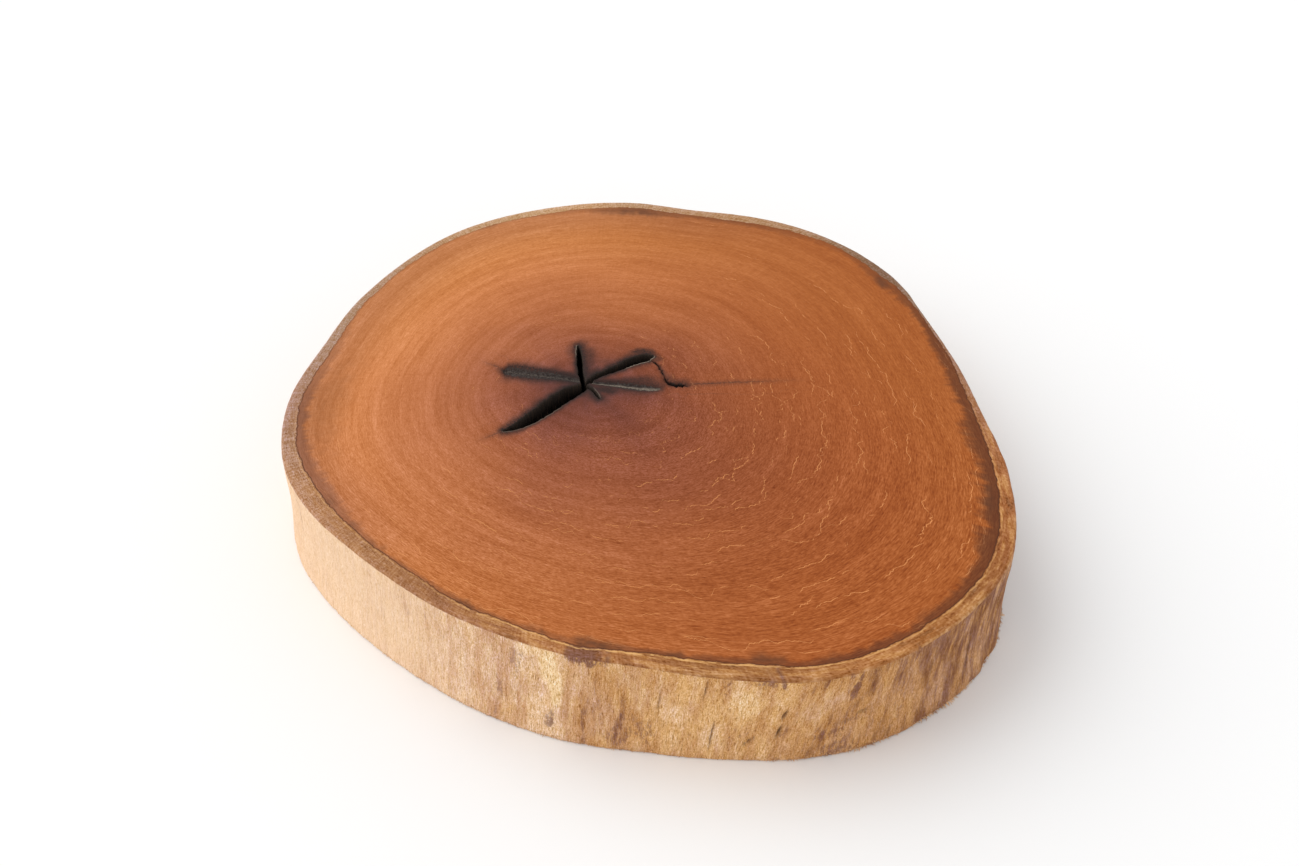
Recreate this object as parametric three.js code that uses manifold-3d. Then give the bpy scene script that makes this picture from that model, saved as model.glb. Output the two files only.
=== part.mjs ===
// Wood slice: one cross-cut slab of a debarked tree trunk, with a star-shaped heart check.
// Millimetres, +Z up. The slab lies flat on its sawn underside, and the origin is on that
// face, at the middle of the slab's bounding box.

import * as THREE from 'three';
import { mergeVertices } from 'three/addons/utils/BufferGeometryUtils.js';
import Module from 'manifold-3d';

// ---- driving dimensions ----

const THICKNESS = 60;
const RIM_ROUNDING = 2.2; // how far the sanded top edge is rounded over
const FOOT_ROUNDING = 1.2; // how far the sawn lower edge is broken
const WAIST = 1.2; // how much the wall is drawn in at half height
const OUTLINE_STEPS = 144; // straight sides round the slab
const WALL_RINGS = [0.2, 0.4, 0.6, 0.8]; // heights of the wall's rings, as shares of the thickness
const ROUNDING_RINGS = [0, 30, 60, 90]; // degrees round the top edge, from the wall to the top face

const CHECK_TAPER = 0.55; // width of an open check at the underside, as a share of its top width
const SHAKE_TAPER = 0.35; // the same at the bottom of the blind ring shake
const GROOVE_TAPER = 0.12; // the same at the bottom of a shallow groove
const GROOVE_DEPTH = 3.5;
const SHAKE_DEPTH = 16;
const CUT_OVERRUN = 2; // how far a cutter stands out of the faces it goes through

const WOOD_COLOUR = 0x9c5a2c;

// The trunk's outline seen from above: direction in degrees anticlockwise from +X, distance
// to the rim, and how much further out (or in) the lower edge is, because the trunk leans.
const OUTLINE = [
  [0, 173, -1],
  [10, 170, -1],
  [18, 169, 0],
  [28, 171.5, 1],
  [36, 177, -1],
  [48, 180.5, -1],
  [60, 181, 0],
  [70, 179, 1],
  [80, 176.5, 2],
  [92, 182, 0],
  [105, 184.5, 0],
  [120, 186.3, -1],
  [132, 184, 0],
  [150, 178.8, 1],
  [163, 176, 1],
  [178, 181, 0.5],
  [192, 181.8, 1],
  [203, 177.5, 1],
  [217, 169, 2.5],
  [238, 166, 2.5],
  [258, 169, 3],
  [270, 173, 1.5],
  [280, 182, -1],
  [293, 197.5, -3.5],
  [303, 203.5, -2],
  [315, 206, 0],
  [327, 205, 0],
  [336, 197, 0],
  [348, 184, -1],
];

// The heart check and its neighbours. Each is a run of stations: x, y and width at the top.
const OPEN_CHECKS = {
  lower_left: [
    [-26, 19, 3],
    [-30.5, 14.5, 6.2],
    [-35.5, 11, 8.6],
    [-42, 5, 9],
    [-48, -1.8, 8.6],
    [-56, -9.9, 6.7],
    [-61.6, -14.7, 4.8],
    [-66, -17.3, 2.6],
    [-69, -18.8, 0.4],
  ],
  upper: [
    [-28.5, 15, 2.4],
    [-31.2, 29, 2.8],
    [-32, 39, 2.8],
    [-32.5, 45, 1.9],
    [-33.2, 49, 0.4],
  ],
  upper_right: [
    [-30, 16.5, 2.4],
    [-24, 22.7, 2.6],
    [-18.5, 26.8, 3.2],
    [-12, 30.5, 4.3],
    [-5.2, 35.3, 5.4],
    [1.6, 38.5, 5.6],
    [5, 39.6, 3.4],
    [7.2, 40.2, 0.4],
  ],
  lower_right: [
    [-31, 19.5, 1.6],
    [-25, 13.5, 1.8],
    [-22.6, 9.7, 1.3],
    [-20.6, 5.8, 0.4],
  ],
};

const GROOVES = {
  left: [
    [-29, 20, 2.6],
    [-39.2, 22.9, 4.4],
    [-47, 24.3, 5.6],
    [-55, 25.5, 6.4],
    [-64, 27.2, 6],
    [-70.5, 28.2, 0.6],
  ],
  right: [
    [-28, 20, 1.6],
    [-19.3, 18.5, 3],
    [-10.4, 17.1, 4.8],
    [0, 15.3, 6.2],
    [7.2, 14.3, 4.4],
    [10.8, 14, 0.6],
  ],
};

const RING_SHAKE = [
  [3.5, 37.6, 0.5],
  [8, 35, 1.3],
  [11, 29, 1.4],
  [12.6, 24, 1],
  [14, 19.8, 1.6],
  [17, 17.2, 1.9],
  [20.5, 16.7, 1.5],
  [25, 16.4, 0.4],
];

// ---- outline and wall ----

/** Closed smooth curve through the outline's points, moved outward by `share` of the foot's lean. */
function trunkCurve(share) {
  const points = OUTLINE.map(([degrees, radius, lean]) => {
    const angle = THREE.MathUtils.degToRad(degrees);
    const reach = radius + share * lean;
    return new THREE.Vector3(reach * Math.cos(angle), reach * Math.sin(angle), 0);
  });
  return new THREE.CatmullRomCurve3(points, true, 'centripetal');
}

const rimCurve = trunkCurve(0);
const footCurve = trunkCurve(1);

/** One ring of the wall at height z, drawn in by `inset` along the wall's own normal. */
function wallRing(z, inset) {
  const share = 1 - z / THICKNESS;
  const ring = [];
  for (let i = 0; i < OUTLINE_STEPS; i += 1) {
    const t = i / OUTLINE_STEPS;
    const point = rimCurve.getPoint(t).lerp(footCurve.getPoint(t), share);
    const along = rimCurve.getTangent(t);
    point.x -= inset * along.y;
    point.y += inset * along.x;
    point.z = z;
    ring.push(point);
  }
  return ring;
}

/** How far the wall is drawn in at a height, between its two rounded edges. */
function waistInset(z) {
  return WAIST * Math.sin(Math.PI * (z / THICKNESS));
}

/** The slab's wall, from the underside to the top face: a height and an inset for each ring. */
function wallProfile() {
  const profile = [
    [0, FOOT_ROUNDING],
    [FOOT_ROUNDING, 0],
  ];
  for (const share of WALL_RINGS) {
    profile.push([share * THICKNESS, waistInset(share * THICKNESS)]);
  }
  for (const degrees of ROUNDING_RINGS) {
    const angle = THREE.MathUtils.degToRad(degrees);
    const z = THICKNESS - RIM_ROUNDING * (1 - Math.sin(angle));
    profile.push([z, RIM_ROUNDING * (1 - Math.cos(angle))]);
  }
  return profile;
}

// ---- solids ----

/** Closed triangle mesh from a stack of equal rings, anticlockwise from above, lowest first. */
function loft(rings) {
  const count = rings[0].length;
  const positions = rings.flat().flatMap((p) => [p.x, p.y, p.z]);
  const index = [];
  for (let level = 0; level + 1 < rings.length; level += 1) {
    for (let i = 0; i < count; i += 1) {
      const next = (i + 1) % count;
      const a = level * count + i;
      const b = level * count + next;
      index.push(a, b, b + count);
      index.push(a, b + count, a + count);
    }
  }
  const topStart = (rings.length - 1) * count;
  const flat = (ring) => ring.map((p) => new THREE.Vector2(p.x, p.y));
  for (const [a, b, c] of THREE.ShapeUtils.triangulateShape(flat(rings[0]), [])) {
    index.push(a, c, b);
  }
  for (const [a, b, c] of THREE.ShapeUtils.triangulateShape(flat(rings.at(-1)), [])) {
    index.push(topStart + a, topStart + b, topStart + c);
  }
  const geometry = new THREE.BufferGeometry();
  geometry.setAttribute('position', new THREE.Float32BufferAttribute(positions, 3));
  geometry.setIndex(index);
  return geometry;
}

/** The lips of a check at one depth: out along one side and back along the other. */
function checkRing(stations, widthShare, z) {
  const left = [];
  const right = [];
  stations.forEach(([x, y, width], i) => {
    const before = stations[Math.max(i - 1, 0)];
    const after = stations[Math.min(i + 1, stations.length - 1)];
    const along = new THREE.Vector2(after[0] - before[0], after[1] - before[1]).normalize();
    const half = (widthShare * width) / 2;
    right.push(new THREE.Vector3(x + half * along.y, y - half * along.x, z));
    left.unshift(new THREE.Vector3(x - half * along.y, y + half * along.x, z));
  });
  return [...right, ...left];
}

/** A wedge that cuts one check, from above the top face down to `bottom`. */
function checkCutter(stations, bottom, taper) {
  const top = THICKNESS + CUT_OVERRUN;
  return loft([checkRing(stations, taper, bottom), checkRing(stations, 1, top)]);
}

const wasm = await Module();
wasm.setup();

/** A solid for joining and cutting, from a closed three.js geometry. */
function toSolid(geometry) {
  const bare = mergeVertices(geometry);
  return new wasm.Manifold(
    new wasm.Mesh({
      numProp: 3,
      vertProperties: new Float32Array(bare.attributes.position.array),
      triVerts: new Uint32Array(bare.index.array),
    }),
  );
}

/** The three.js geometry of a solid. */
function toGeometry(solid) {
  const { vertProperties, triVerts } = solid.getMesh();
  const geometry = new THREE.BufferGeometry();
  geometry.setAttribute('position', new THREE.BufferAttribute(vertProperties, 3));
  geometry.setIndex(new THREE.BufferAttribute(triVerts, 1));
  geometry.computeVertexNormals();
  return geometry;
}

function checkedSlab() {
  let slab = toSolid(loft(wallProfile().map(([z, inset]) => wallRing(z, inset))));
  for (const stations of Object.values(OPEN_CHECKS)) {
    slab = slab.subtract(toSolid(checkCutter(stations, -CUT_OVERRUN, CHECK_TAPER)));
  }
  for (const stations of Object.values(GROOVES)) {
    const bottom = THICKNESS - GROOVE_DEPTH;
    slab = slab.subtract(toSolid(checkCutter(stations, bottom, GROOVE_TAPER)));
  }
  const shakeBottom = THICKNESS - SHAKE_DEPTH;
  slab = slab.subtract(toSolid(checkCutter(RING_SHAKE, shakeBottom, SHAKE_TAPER)));
  return slab;
}

// ---- the part ----

const geometry = toGeometry(checkedSlab());
geometry.computeBoundingBox();
const middle = geometry.boundingBox.getCenter(new THREE.Vector3());
geometry.translate(-middle.x, -middle.y, 0);

const material = new THREE.MeshStandardMaterial({
  color: WOOD_COLOUR,
  roughness: 0.6,
  metalness: 0,
});
const slice = new THREE.Mesh(geometry, material);
slice.name = 'wood_slice';

const woodSlice = new THREE.Group();
woodSlice.add(slice);

export default woodSlice;
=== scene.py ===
"""A wood slice: one thick slab sawn across a debarked trunk, with a star-shaped heart check.

The slab is one closed mesh. Its outline is read off the CAD solid, and everything finer is
made here: the rounded rim, the fibrous debarked side, the sunken grey grooves, the lips of the
heart check and its sooty walls, painted blacker further down as shade, and the torn fibres
along the sawn lower edge. Lengths are in millimetres until a mesh is made, and in metres after
that.
"""

import math

import bpy
import numpy as np
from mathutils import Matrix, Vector
from mathutils.bvhtree import BVHTree
from mathutils.geometry import delaunay_2d_cdt
from mathutils.kdtree import KDTree


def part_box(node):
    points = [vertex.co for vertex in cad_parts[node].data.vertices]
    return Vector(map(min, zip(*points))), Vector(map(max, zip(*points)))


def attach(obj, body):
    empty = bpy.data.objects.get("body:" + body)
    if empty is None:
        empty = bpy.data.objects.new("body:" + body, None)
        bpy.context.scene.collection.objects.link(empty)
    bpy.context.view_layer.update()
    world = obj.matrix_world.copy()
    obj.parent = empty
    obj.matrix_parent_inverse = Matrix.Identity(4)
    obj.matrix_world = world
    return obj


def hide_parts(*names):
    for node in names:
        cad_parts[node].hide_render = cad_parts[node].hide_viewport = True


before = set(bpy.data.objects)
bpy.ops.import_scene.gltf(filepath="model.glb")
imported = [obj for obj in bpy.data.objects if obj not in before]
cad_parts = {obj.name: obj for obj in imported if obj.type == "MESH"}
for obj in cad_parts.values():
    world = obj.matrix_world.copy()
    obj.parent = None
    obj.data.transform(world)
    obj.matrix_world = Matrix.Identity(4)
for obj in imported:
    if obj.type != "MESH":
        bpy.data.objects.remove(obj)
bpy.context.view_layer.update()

NODE = "wood_slice"
BODY = "root"
MM = 0.001

SLAB_LOW, SLAB_HIGH = (np.array(corner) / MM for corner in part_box(NODE))
THICKNESS = SLAB_HIGH[2] - SLAB_LOW[2]

# ---- the slab's own dimensions ----

COLUMNS = 1600  # points round the wall
RIM_ROUNDING = 1.4
FOOT_ROUNDING = 1.2
ROUNDING_STEPS = 6
WALL_STEP = 2.2  # height between two rings of the wall
OUTLINE_SMOOTHING = 3.0  # degrees, evens out the CAD solid's straight sides

LIP_RADIUS = 0.6  # how far the lips of the heart check are worn round
LIP_STEP = 0.6
CHECK_TAPER = 0.55  # width of the heart check at the underside, as a share of the top
CHECK_LEVELS = 30

# Stations along each arm of the heart check: x, y and width, from the pith to the tip. The
# arms are in order round the pith, anticlockwise.
OPEN_CHECKS = {
    "upper_right": [
        (-30, 16.5, 2.4),
        (-24, 22.7, 2.6),
        (-18.5, 26.8, 3.2),
        (-12, 30.5, 4.3),
        (-5.2, 35.3, 5.4),
        (1.6, 38.5, 5.6),
        (5, 39.6, 3.4),
        (7.2, 40.2, 0.4),
    ],
    "upper": [
        (-28.5, 15, 2.4),
        (-31.2, 29, 2.8),
        (-32, 39, 2.8),
        (-32.5, 45, 1.9),
        (-33.2, 49, 0.4),
    ],
    "lower_left": [
        (-26, 19, 3),
        (-30.5, 14.5, 6.2),
        (-35.5, 11, 8.6),
        (-42, 5, 9),
        (-48, -1.8, 8.6),
        (-56, -9.9, 6.7),
        (-61.6, -14.7, 4.8),
        (-66, -17.3, 2.6),
        (-69, -18.8, 0.4),
    ],
    "lower_right": [
        (-31, 19.5, 1.6),
        (-25, 13.5, 1.8),
        (-22.6, 9.7, 1.3),
        (-20.6, 5.8, 0.4),
    ],
}

# Shallow hollows, which do not go through. Their stations are as above.
LEFT_GROOVE = [
    (-29, 20, 2.6),
    (-39.2, 23.0, 5.0),
    (-47, 24.6, 6.6),
    (-55, 25.9, 8.0),
    (-64, 27.6, 9.0),
    (-69.5, 28.5, 7.0),
    (-71.8, 28.8, 0.6),
]
RIGHT_GROOVE = [
    (-28, 20, 1.6),
    (-19.3, 18.5, 3),
    (-10.4, 17.1, 4.8),
    (0, 15.3, 6.0),
    (7.2, 14.3, 4.2),
    (10.8, 14, 0.6),
]
RING_SHAKE = [
    (3.5, 37.6, 0.5),
    (8, 35, 1.0),
    (11, 29, 0.8),
    (12.6, 24, 0.8),
    (14, 19.8, 1.3),
    (17, 17.2, 2.2),
    (20.5, 16.7, 1.9),
    (25, 16.4, 0.4),
]
LEFT_GROOVE_DEPTH = 1.3
RIGHT_GROOVE_DEPTH = 1.5
RING_SHAKE_DEPTH = 3.2
PITH = np.array([-29.0, 17.5])

# Painted highlights along the lit lips of the heart check: arm, side of it (1 left, -1 right), and
# from where to where along it as shares of its length, then how pale.
LIT_LIP_RUNS = [
    ("lower_left", 1, 0.4, 1.0, 0.28),
    ("upper_right", -1, 0.6, 1.0, 0.7),
    ("upper", 1, 0.75, 1.0, 0.5),
    ("lower_right", 1, 0.5, 0.9, 0.35),
]

# How far soot has spread from the heart check: degrees round the pith, and millimetres.
SOOT_REACH = [
    (0, 2.4),
    (35, 2.6),
    (60, 4.5),
    (88, 4.6),
    (104, 2.6),
    (150, 2.0),
    (200, 3.2),
    (226, 3.0),
    (236, 1.5),
    (260, 1.6),
    (300, 3.5),
    (335, 3.4),
]

# Sooty patches beside the checks: x, y, half length, half width and strength.
SOOT_PATCHES = [
    (-17.5, 13.0, 10.0, 4.6, 0.85),
    (-22.5, 8.5, 5.0, 5.0, 0.75),
    (-27.5, 38.0, 4.2, 12.0, 0.66),
    (-36.0, 44.0, 3.4, 9.0, 0.4),
    (-65.0, 28.6, 9.0, 7.6, 0.92),
    (-49.0, 27.5, 13.0, 6.0, 0.8),
    (-12.0, 35.5, 14.0, 3.4, 0.4),
    (1.0, 43.0, 9.0, 4.4, 0.85),
    (8.5, 38.0, 4.0, 4.0, 0.6),
    (20.0, 17.5, 9.0, 3.6, 0.85),
    (14.0, 21.0, 4.0, 4.0, 0.6),
    (-2.0, 20.5, 15.0, 4.0, 0.72),
    (6.0, 15.5, 8.0, 6.0, 0.8),
    (12.5, 17.0, 6.0, 3.0, 0.5),
]

# The wall by direction: degrees, how brown it is from weathering and from painted shade on the
# side away from the window, how strongly it is fluted, how ochre it is, and how mottled.
WALL_TONES = [
    (10, 0.85, 1.0, 0.9, 1.0),
    (40, 0.65, 0.8, 0.6, 0.8),
    (90, 0.5, 0.6, 0.4, 0.7),
    (140, 0.35, 0.5, 0.2, 0.5),
    (180, 0.1, 0.3, 0.0, 0.3),
    (215, 0.0, 0.2, 0.0, 0.2),
    (230, 0.06, 0.3, 0.05, 0.35),
    (240, 0.2, 0.4, 0.1, 0.7),
    (247, 0.34, 0.4, 0.15, 0.9),
    (252, 0.26, 0.4, 0.2, 1.0),
    (256, 0.02, 0.3, 0.3, 1.0),
    (260, 0.4, 0.4, 0.5, 1.0),
    (266, 0.4, 0.4, 0.7, 1.1),
    (272, 0.25, 0.5, 0.85, 1.1),
    (279, 0.2, 0.5, 1.0, 1.1),
    (285, 0.15, 0.4, 1.0, 1.2),
    (290, 0.38, 0.6, 1.0, 1.2),
    (297, 0.6, 0.6, 0.9, 1.2),
    (304, 0.58, 0.9, 0.8, 1.1),
    (312, 0.85, 1.3, 0.6, 1.1),
    (320, 0.8, 2.0, 0.5, 1.3),
    (328, 0.8, 2.2, 0.6, 1.4),
    (335, 1.1, 2.2, 1.0, 1.2),
    (350, 1.15, 1.6, 1.0, 1.1),
]

# How far the grain leans sideways as it goes up: degrees round the slab, and the slope.
GRAIN_LEAN = [(0, 0.02), (180, 0.0), (235, 0.04), (270, 0.06), (290, 0.11), (312, 0.03)]

# Patches on the wall: degrees, height, half width, half height, lean and strength.
CREAM_PATCHES = [
    (256, 50, 4.5, 14, 0.1, 0.9),
    (256.8, 35, 3.4, 14, 0.05, 0.9),
    (252.5, 56, 6, 5, 0.3, 0.55),
    (285, 40, 9, 18, 0.2, 0.5),
    (275, 12, 4, 10, 0.1, 0.3),
]
PURPLE_PATCHES = [
    (261.5, 58, 13, 4.6, 0.3, 0.85),
    (256.2, 12, 3.0, 8, 0.15, 0.75),
    (247.5, 21, 4.5, 10, 0.1, 0.45),
    (250.5, 46, 4, 11, 0.1, 0.45),
    (266, 9, 10, 8, 0.0, 0.55),
    (270.5, 15, 6, 8, 0.0, 0.5),
    (335, 48, 6, 12, 0.0, 0.4),
    (315, 30, 3, 26, 0.05, 0.4),
    (277.5, 15, 2, 6, 0.1, 0.45),
    (289.5, 56, 2.6, 7.5, 0.0, 0.9),
    (287, 57, 10, 4.0, 0.0, 0.65),
    (298, 57, 2.2, 4.5, 0.1, 0.75),
    (299, 50, 3.2, 12, 0.1, 0.75),
    (295.5, 16, 10, 6, 0.4, 0.6),
    (297.5, 6, 11, 7, 0.3, 0.65),
    (300, 26, 8, 4, 0.6, 0.45),
    (283, 56, 4, 3, 0.2, 0.4),
    (306, 30, 5, 20, 0.1, 0.35),
    (307.5, 55, 1.6, 7, 0.1, 0.7),
    (315.5, 44, 5, 12, 0.1, 0.4),
    (323.5, 38, 4, 16, 0.1, 0.5),
    (200.5, 38, 3.0, 22, 0.0, 0.3),
]
GOUGES = [
    (290, 33, 0.9, 3.4, 0.25, 0.9),
    (289.5, 21, 1.3, 5.5, 0.2, 1.0),
    (285.5, 14, 0.7, 3.2, 0.8, 0.8),
    (297.5, 24, 5.5, 0.7, 0.0, 0.7),
    (300.5, 27.5, 3, 0.6, 0.1, 0.6),
    (279.5, 50, 0.5, 8, 0.12, 0.8),
    (280.5, 17, 0.6, 11, 0.12, 0.8),
    (273, 35, 0.5, 8, 0.1, 0.5),
    (311, 40, 0.6, 14, 0.06, 0.7),
    (318.5, 30, 0.7, 18, 0.06, 0.8),
    (326, 34, 0.7, 16, 0.04, 0.8),
    (334, 30, 0.8, 20, 0.04, 0.8),
    (342, 26, 0.7, 16, 0.04, 0.7),
]

# The top face at the rim, by direction: degrees, width of the sapwood, width and strength of
# the dark band just inside it, and the sapwood's shade as red, green and blue from 0 to 255.
HEART_EDGE = [
    (0, 4, 6, 0.66, 155, 105, 72),
    (10, 3, 7, 0.65, 153, 109, 81),
    (20, 1.6, 4.5, 0.65, 150, 111, 85),
    (30, 2, 5, 0.55, 141, 108, 83),
    (40, 5.5, 5, 0.4, 125, 93, 71),
    (50, 4.6, 3, 0.25, 140, 106, 78),
    (60, 5.6, 5, 0.25, 169, 130, 98),
    (70, 7.4, 3.5, 0.35, 173, 133, 96),
    (80, 5.8, 3, 0.35, 177, 136, 102),
    (90, 6, 7, 0.55, 176, 138, 104),
    (100, 5.7, 4, 0.25, 190, 147, 107),
    (110, 6.2, 2, 0.15, 188, 149, 110),
    (125, 5.2, 1.5, 0.12, 182, 142, 106),
    (140, 4.4, 1.5, 0.12, 170, 132, 102),
    (155, 5.3, 2, 0.15, 165, 130, 103),
    (170, 6.1, 7, 0.35, 166, 129, 106),
    (180, 6.5, 5.5, 0.6, 164, 124, 102),
    (190, 7.6, 6.5, 0.56, 168, 128, 102),
    (200, 9.6, 7, 0.5, 175, 129, 95),
    (210, 8.4, 4.5, 0.4, 170, 122, 86),
    (220, 7.6, 1.6, 0.35, 162, 114, 76),
    (230, 8.2, 2, 0.35, 156, 107, 71),
    (240, 6.9, 2.4, 0.5, 153, 102, 68),
    (250, 7.2, 1.8, 0.3, 159, 105, 63),
    (260, 5.2, 4, 0.35, 170, 112, 66),
    (270, 7.2, 2.6, 0.5, 157, 102, 59),
    (280, 8, 3.2, 0.5, 148, 96, 52),
    (290, 8.8, 3.6, 0.45, 152, 99, 56),
    (300, 7.2, 4.4, 0.62, 167, 109, 61),
    (310, 7.6, 5, 0.55, 162, 104, 54),
    (320, 7.8, 5.5, 0.6, 148, 94, 50),
    (330, 8.2, 9.5, 0.68, 150, 91, 49),
    (340, 7.4, 10.5, 0.7, 163, 102, 56),
    (350, 6.2, 8.4, 0.66, 159, 101, 60),
]

# Dark smudges at the heart edge: degrees, how far in from the rim, half length, half width and
# strength.
SMUDGES = [
    (38, 8, 7, 3.0, 0.75),
    (180, 20, 36, 12, 0.16),
    (205, 11.5, 5, 1.8, 0.4),
    (213, 10.5, 4, 1.6, 0.5),
    (219, 9.8, 6, 1.5, 0.45),
    (93, 10, 18, 3.6, 0.5),
    (119, 6, 6, 1.6, 0.3),
    (240, 8, 7, 1.8, 0.6),
    (226, 8.6, 4, 1.6, 0.5),
    (253, 8, 6, 2.0, 0.5),
    (263, 8.5, 13, 3.4, 0.7),
    (276, 9.6, 6, 1.6, 0.5),
    (288.5, 12.5, 9, 3.2, 0.75),
    (297, 11, 8, 2.2, 0.5),
    (312, 12, 9, 2.4, 0.35),
    (338, 13, 12, 3.6, 0.5),
]

# Thin dark lines that go on past the tips of the checks: stations, as plan points.
FAINT_LINES = [
    [(23.3, 16.6), (33.7, 17.7), (46.8, 18.9), (62.4, 19.7), (78, 20.5), (96, 22)],
    [(-66, -17.3), (-75.4, -22.7), (-84, -28)],
    [(-69, 28.2), (-79.1, 33.9), (-86, 38)],
]

# ---- small helpers ----


def hashed(cell, seed):
    """A repeatable number from -1 to 1 for each whole-numbered cell."""
    bits = cell[:, 0] * 73856093 ^ cell[:, 1] * 19349663 ^ cell[:, 2] * 83492791
    bits = (bits ^ (seed * 2654435761)) & 0xFFFFFFFF
    bits = (bits ^ (bits >> 15)) * 2246822519 & 0xFFFFFFFF
    bits = (bits ^ (bits >> 13)) * 3266489917 & 0xFFFFFFFF
    return ((bits ^ (bits >> 16)) & 0xFFFF) / 32767.5 - 1.0


def noise(points, scale, seed):
    """Smooth noise from about -1 to 1 at each point. scale is the size of a cell on each axis."""
    at = np.asarray(points, float) / np.asarray(scale, float)
    cell = np.floor(at).astype(np.int64)
    part = at - cell
    ease = part * part * (3.0 - 2.0 * part)
    found = np.zeros(len(at))
    for corner in np.ndindex(2, 2, 2):
        weight = np.prod(np.where(corner, ease, 1.0 - ease), axis=1)
        found += weight * hashed(cell + corner, seed)
    return found


def smoothstep(low, high, value):
    """0 where value is low, 1 where it is high, and an eased change between them."""
    share = np.clip((value - low) / (high - low), 0.0, 1.0)
    return share * share * (3.0 - 2.0 * share)


def with_height(plan, height):
    """Plan points (x, y) with a height added as z."""
    return np.column_stack([plan, np.broadcast_to(height, len(plan))])


# ---- the outline, from the CAD solid ----


def cad_tree():
    """The CAD solid in millimetres, for casting rays at it."""
    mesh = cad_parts[NODE].data
    points = [v.co / MM for v in mesh.vertices]
    return BVHTree.FromPolygons(points, [p.vertices[:] for p in mesh.polygons])


def wall_radii(tree, angles, height):
    """Distance from the slab's middle to the CAD wall in each direction, at one height."""
    far = 2.0 * SLAB_HIGH[0]
    found = []
    for angle in angles:
        out = Vector((math.cos(angle), math.sin(angle), 0.0))
        hit = tree.ray_cast(out * far + Vector((0, 0, height)), -out)[0]
        found.append(math.hypot(hit.x, hit.y))
    return np.array(found)


def evened(radii, degrees):
    """Radii round the slab, smoothed over about this angle."""
    count = len(radii)
    turn = np.fft.rfftfreq(count, 1.0 / count)
    damping = np.exp(-0.5 * (turn * math.radians(degrees) / 2.0) ** 2)
    return np.fft.irfft(np.fft.rfft(radii) * damping, count)


ANGLES = np.linspace(0.0, 2.0 * math.pi, COLUMNS, endpoint=False)
OUTWARD = np.column_stack([np.cos(ANGLES), np.sin(ANGLES)])


def read_outline():
    """The wall's radii at a few heights: the heights, and one row of radii for each."""
    tree = cad_tree()
    heights = THICKNESS * np.array([0.04, 0.3, 0.5, 0.7, 0.955])
    rows = [evened(wall_radii(tree, ANGLES, z), OUTLINE_SMOOTHING) for z in heights]
    return heights, np.array(rows)


OUTLINE_HEIGHTS, OUTLINE_RADII = read_outline()


def radii_at(height):
    """The wall's radii at any height, between the rows that were read."""
    z = np.clip(height, OUTLINE_HEIGHTS[0], OUTLINE_HEIGHTS[-1])
    upper = max(1, int(np.searchsorted(OUTLINE_HEIGHTS, z)))
    below, above = OUTLINE_HEIGHTS[upper - 1], OUTLINE_HEIGHTS[upper]
    share = (z - below) / (above - below)
    return (1 - share) * OUTLINE_RADII[upper - 1] + share * OUTLINE_RADII[upper]


# ---- the heart check ----


def resampled(points, step):
    """A polyline of stations, at even steps along a smooth curve through them."""
    points = np.asarray(points, float)
    padded = np.vstack([2 * points[0] - points[1], points, 2 * points[-1] - points[-2]])
    dense = []
    for p0, p1, p2, p3 in zip(padded, padded[1:], padded[2:], padded[3:]):
        for t in np.linspace(0, 1, 16, endpoint=False):
            bend = 2 * p0 - 5 * p1 + 4 * p2 - p3
            twist = -p0 + 3 * p1 - 3 * p2 + p3
            dense.append(0.5 * (2 * p1 + (p2 - p0) * t + bend * t * t + twist * t**3))
    dense.append(points[-1])
    dense = np.array(dense)
    run = np.linalg.norm(np.diff(dense[:, :2], axis=0), axis=1)
    along = np.concatenate([[0.0], np.cumsum(run)])
    count = max(3, int(round(along[-1] / step)) + 1)
    even = np.linspace(0.0, along[-1], count)
    return np.column_stack([np.interp(even, along, column) for column in dense.T])


def lips(stations, share, spread):
    """The right and the left lip of an arm, from the pith to the tip. share scales the arm's
    width, and spread then moves each lip outward."""
    along = np.gradient(stations[:, :2], axis=0)
    along /= np.linalg.norm(along, axis=1)[:, None]
    sideways = np.column_stack([along[:, 1], -along[:, 0]])
    half = share * stations[:, 2:3] / 2.0 + spread
    return stations[:, :2] + half * sideways, stations[:, :2] - half * sideways


def crossing(first, second):
    """Where two lips cross, furthest from the pith: the place on each, counted in steps."""
    a, b = first[:-1, None], first[1:, None]
    c, d = second[None, :-1], second[None, 1:]
    along, other, gap = b - a, d - c, c - a
    turn = along[..., 0] * other[..., 1] - along[..., 1] * other[..., 0]
    turn = np.where(np.abs(turn) < 1e-12, 1e-12, turn)
    t = (gap[..., 0] * other[..., 1] - gap[..., 1] * other[..., 0]) / turn
    u = (gap[..., 0] * along[..., 1] - gap[..., 1] * along[..., 0]) / turn
    i, j = np.nonzero((t >= 0) & (t <= 1) & (u >= 0) & (u <= 1))
    best = np.argmax(i + j)
    return i[best] + t[i[best], j[best]], j[best] + u[i[best], j[best]]


def stretch(lip, start, count):
    """A lip from a place on it, counted in steps, to its tip, as so many points."""
    places = np.linspace(start, len(lip) - 1, count)
    whole = np.arange(len(lip))
    return np.column_stack([np.interp(places, whole, lip[:, k]) for k in (0, 1)])


ARMS = [resampled(stations, LIP_STEP) for stations in OPEN_CHECKS.values()]
LEFT_LINE = resampled(LEFT_GROOVE, LIP_STEP)
RIGHT_LINE = resampled(RIGHT_GROOVE, LIP_STEP)
SHAKE_LINE = resampled(RING_SHAKE, LIP_STEP)
GROOVES = [  # middle line, depth and how far the lips are worn back
    (LEFT_LINE, LEFT_GROOVE_DEPTH, 0.5),
    (RIGHT_LINE, RIGHT_GROOVE_DEPTH, 0.5),
    (SHAKE_LINE, RING_SHAKE_DEPTH, 0.15),
]


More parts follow.
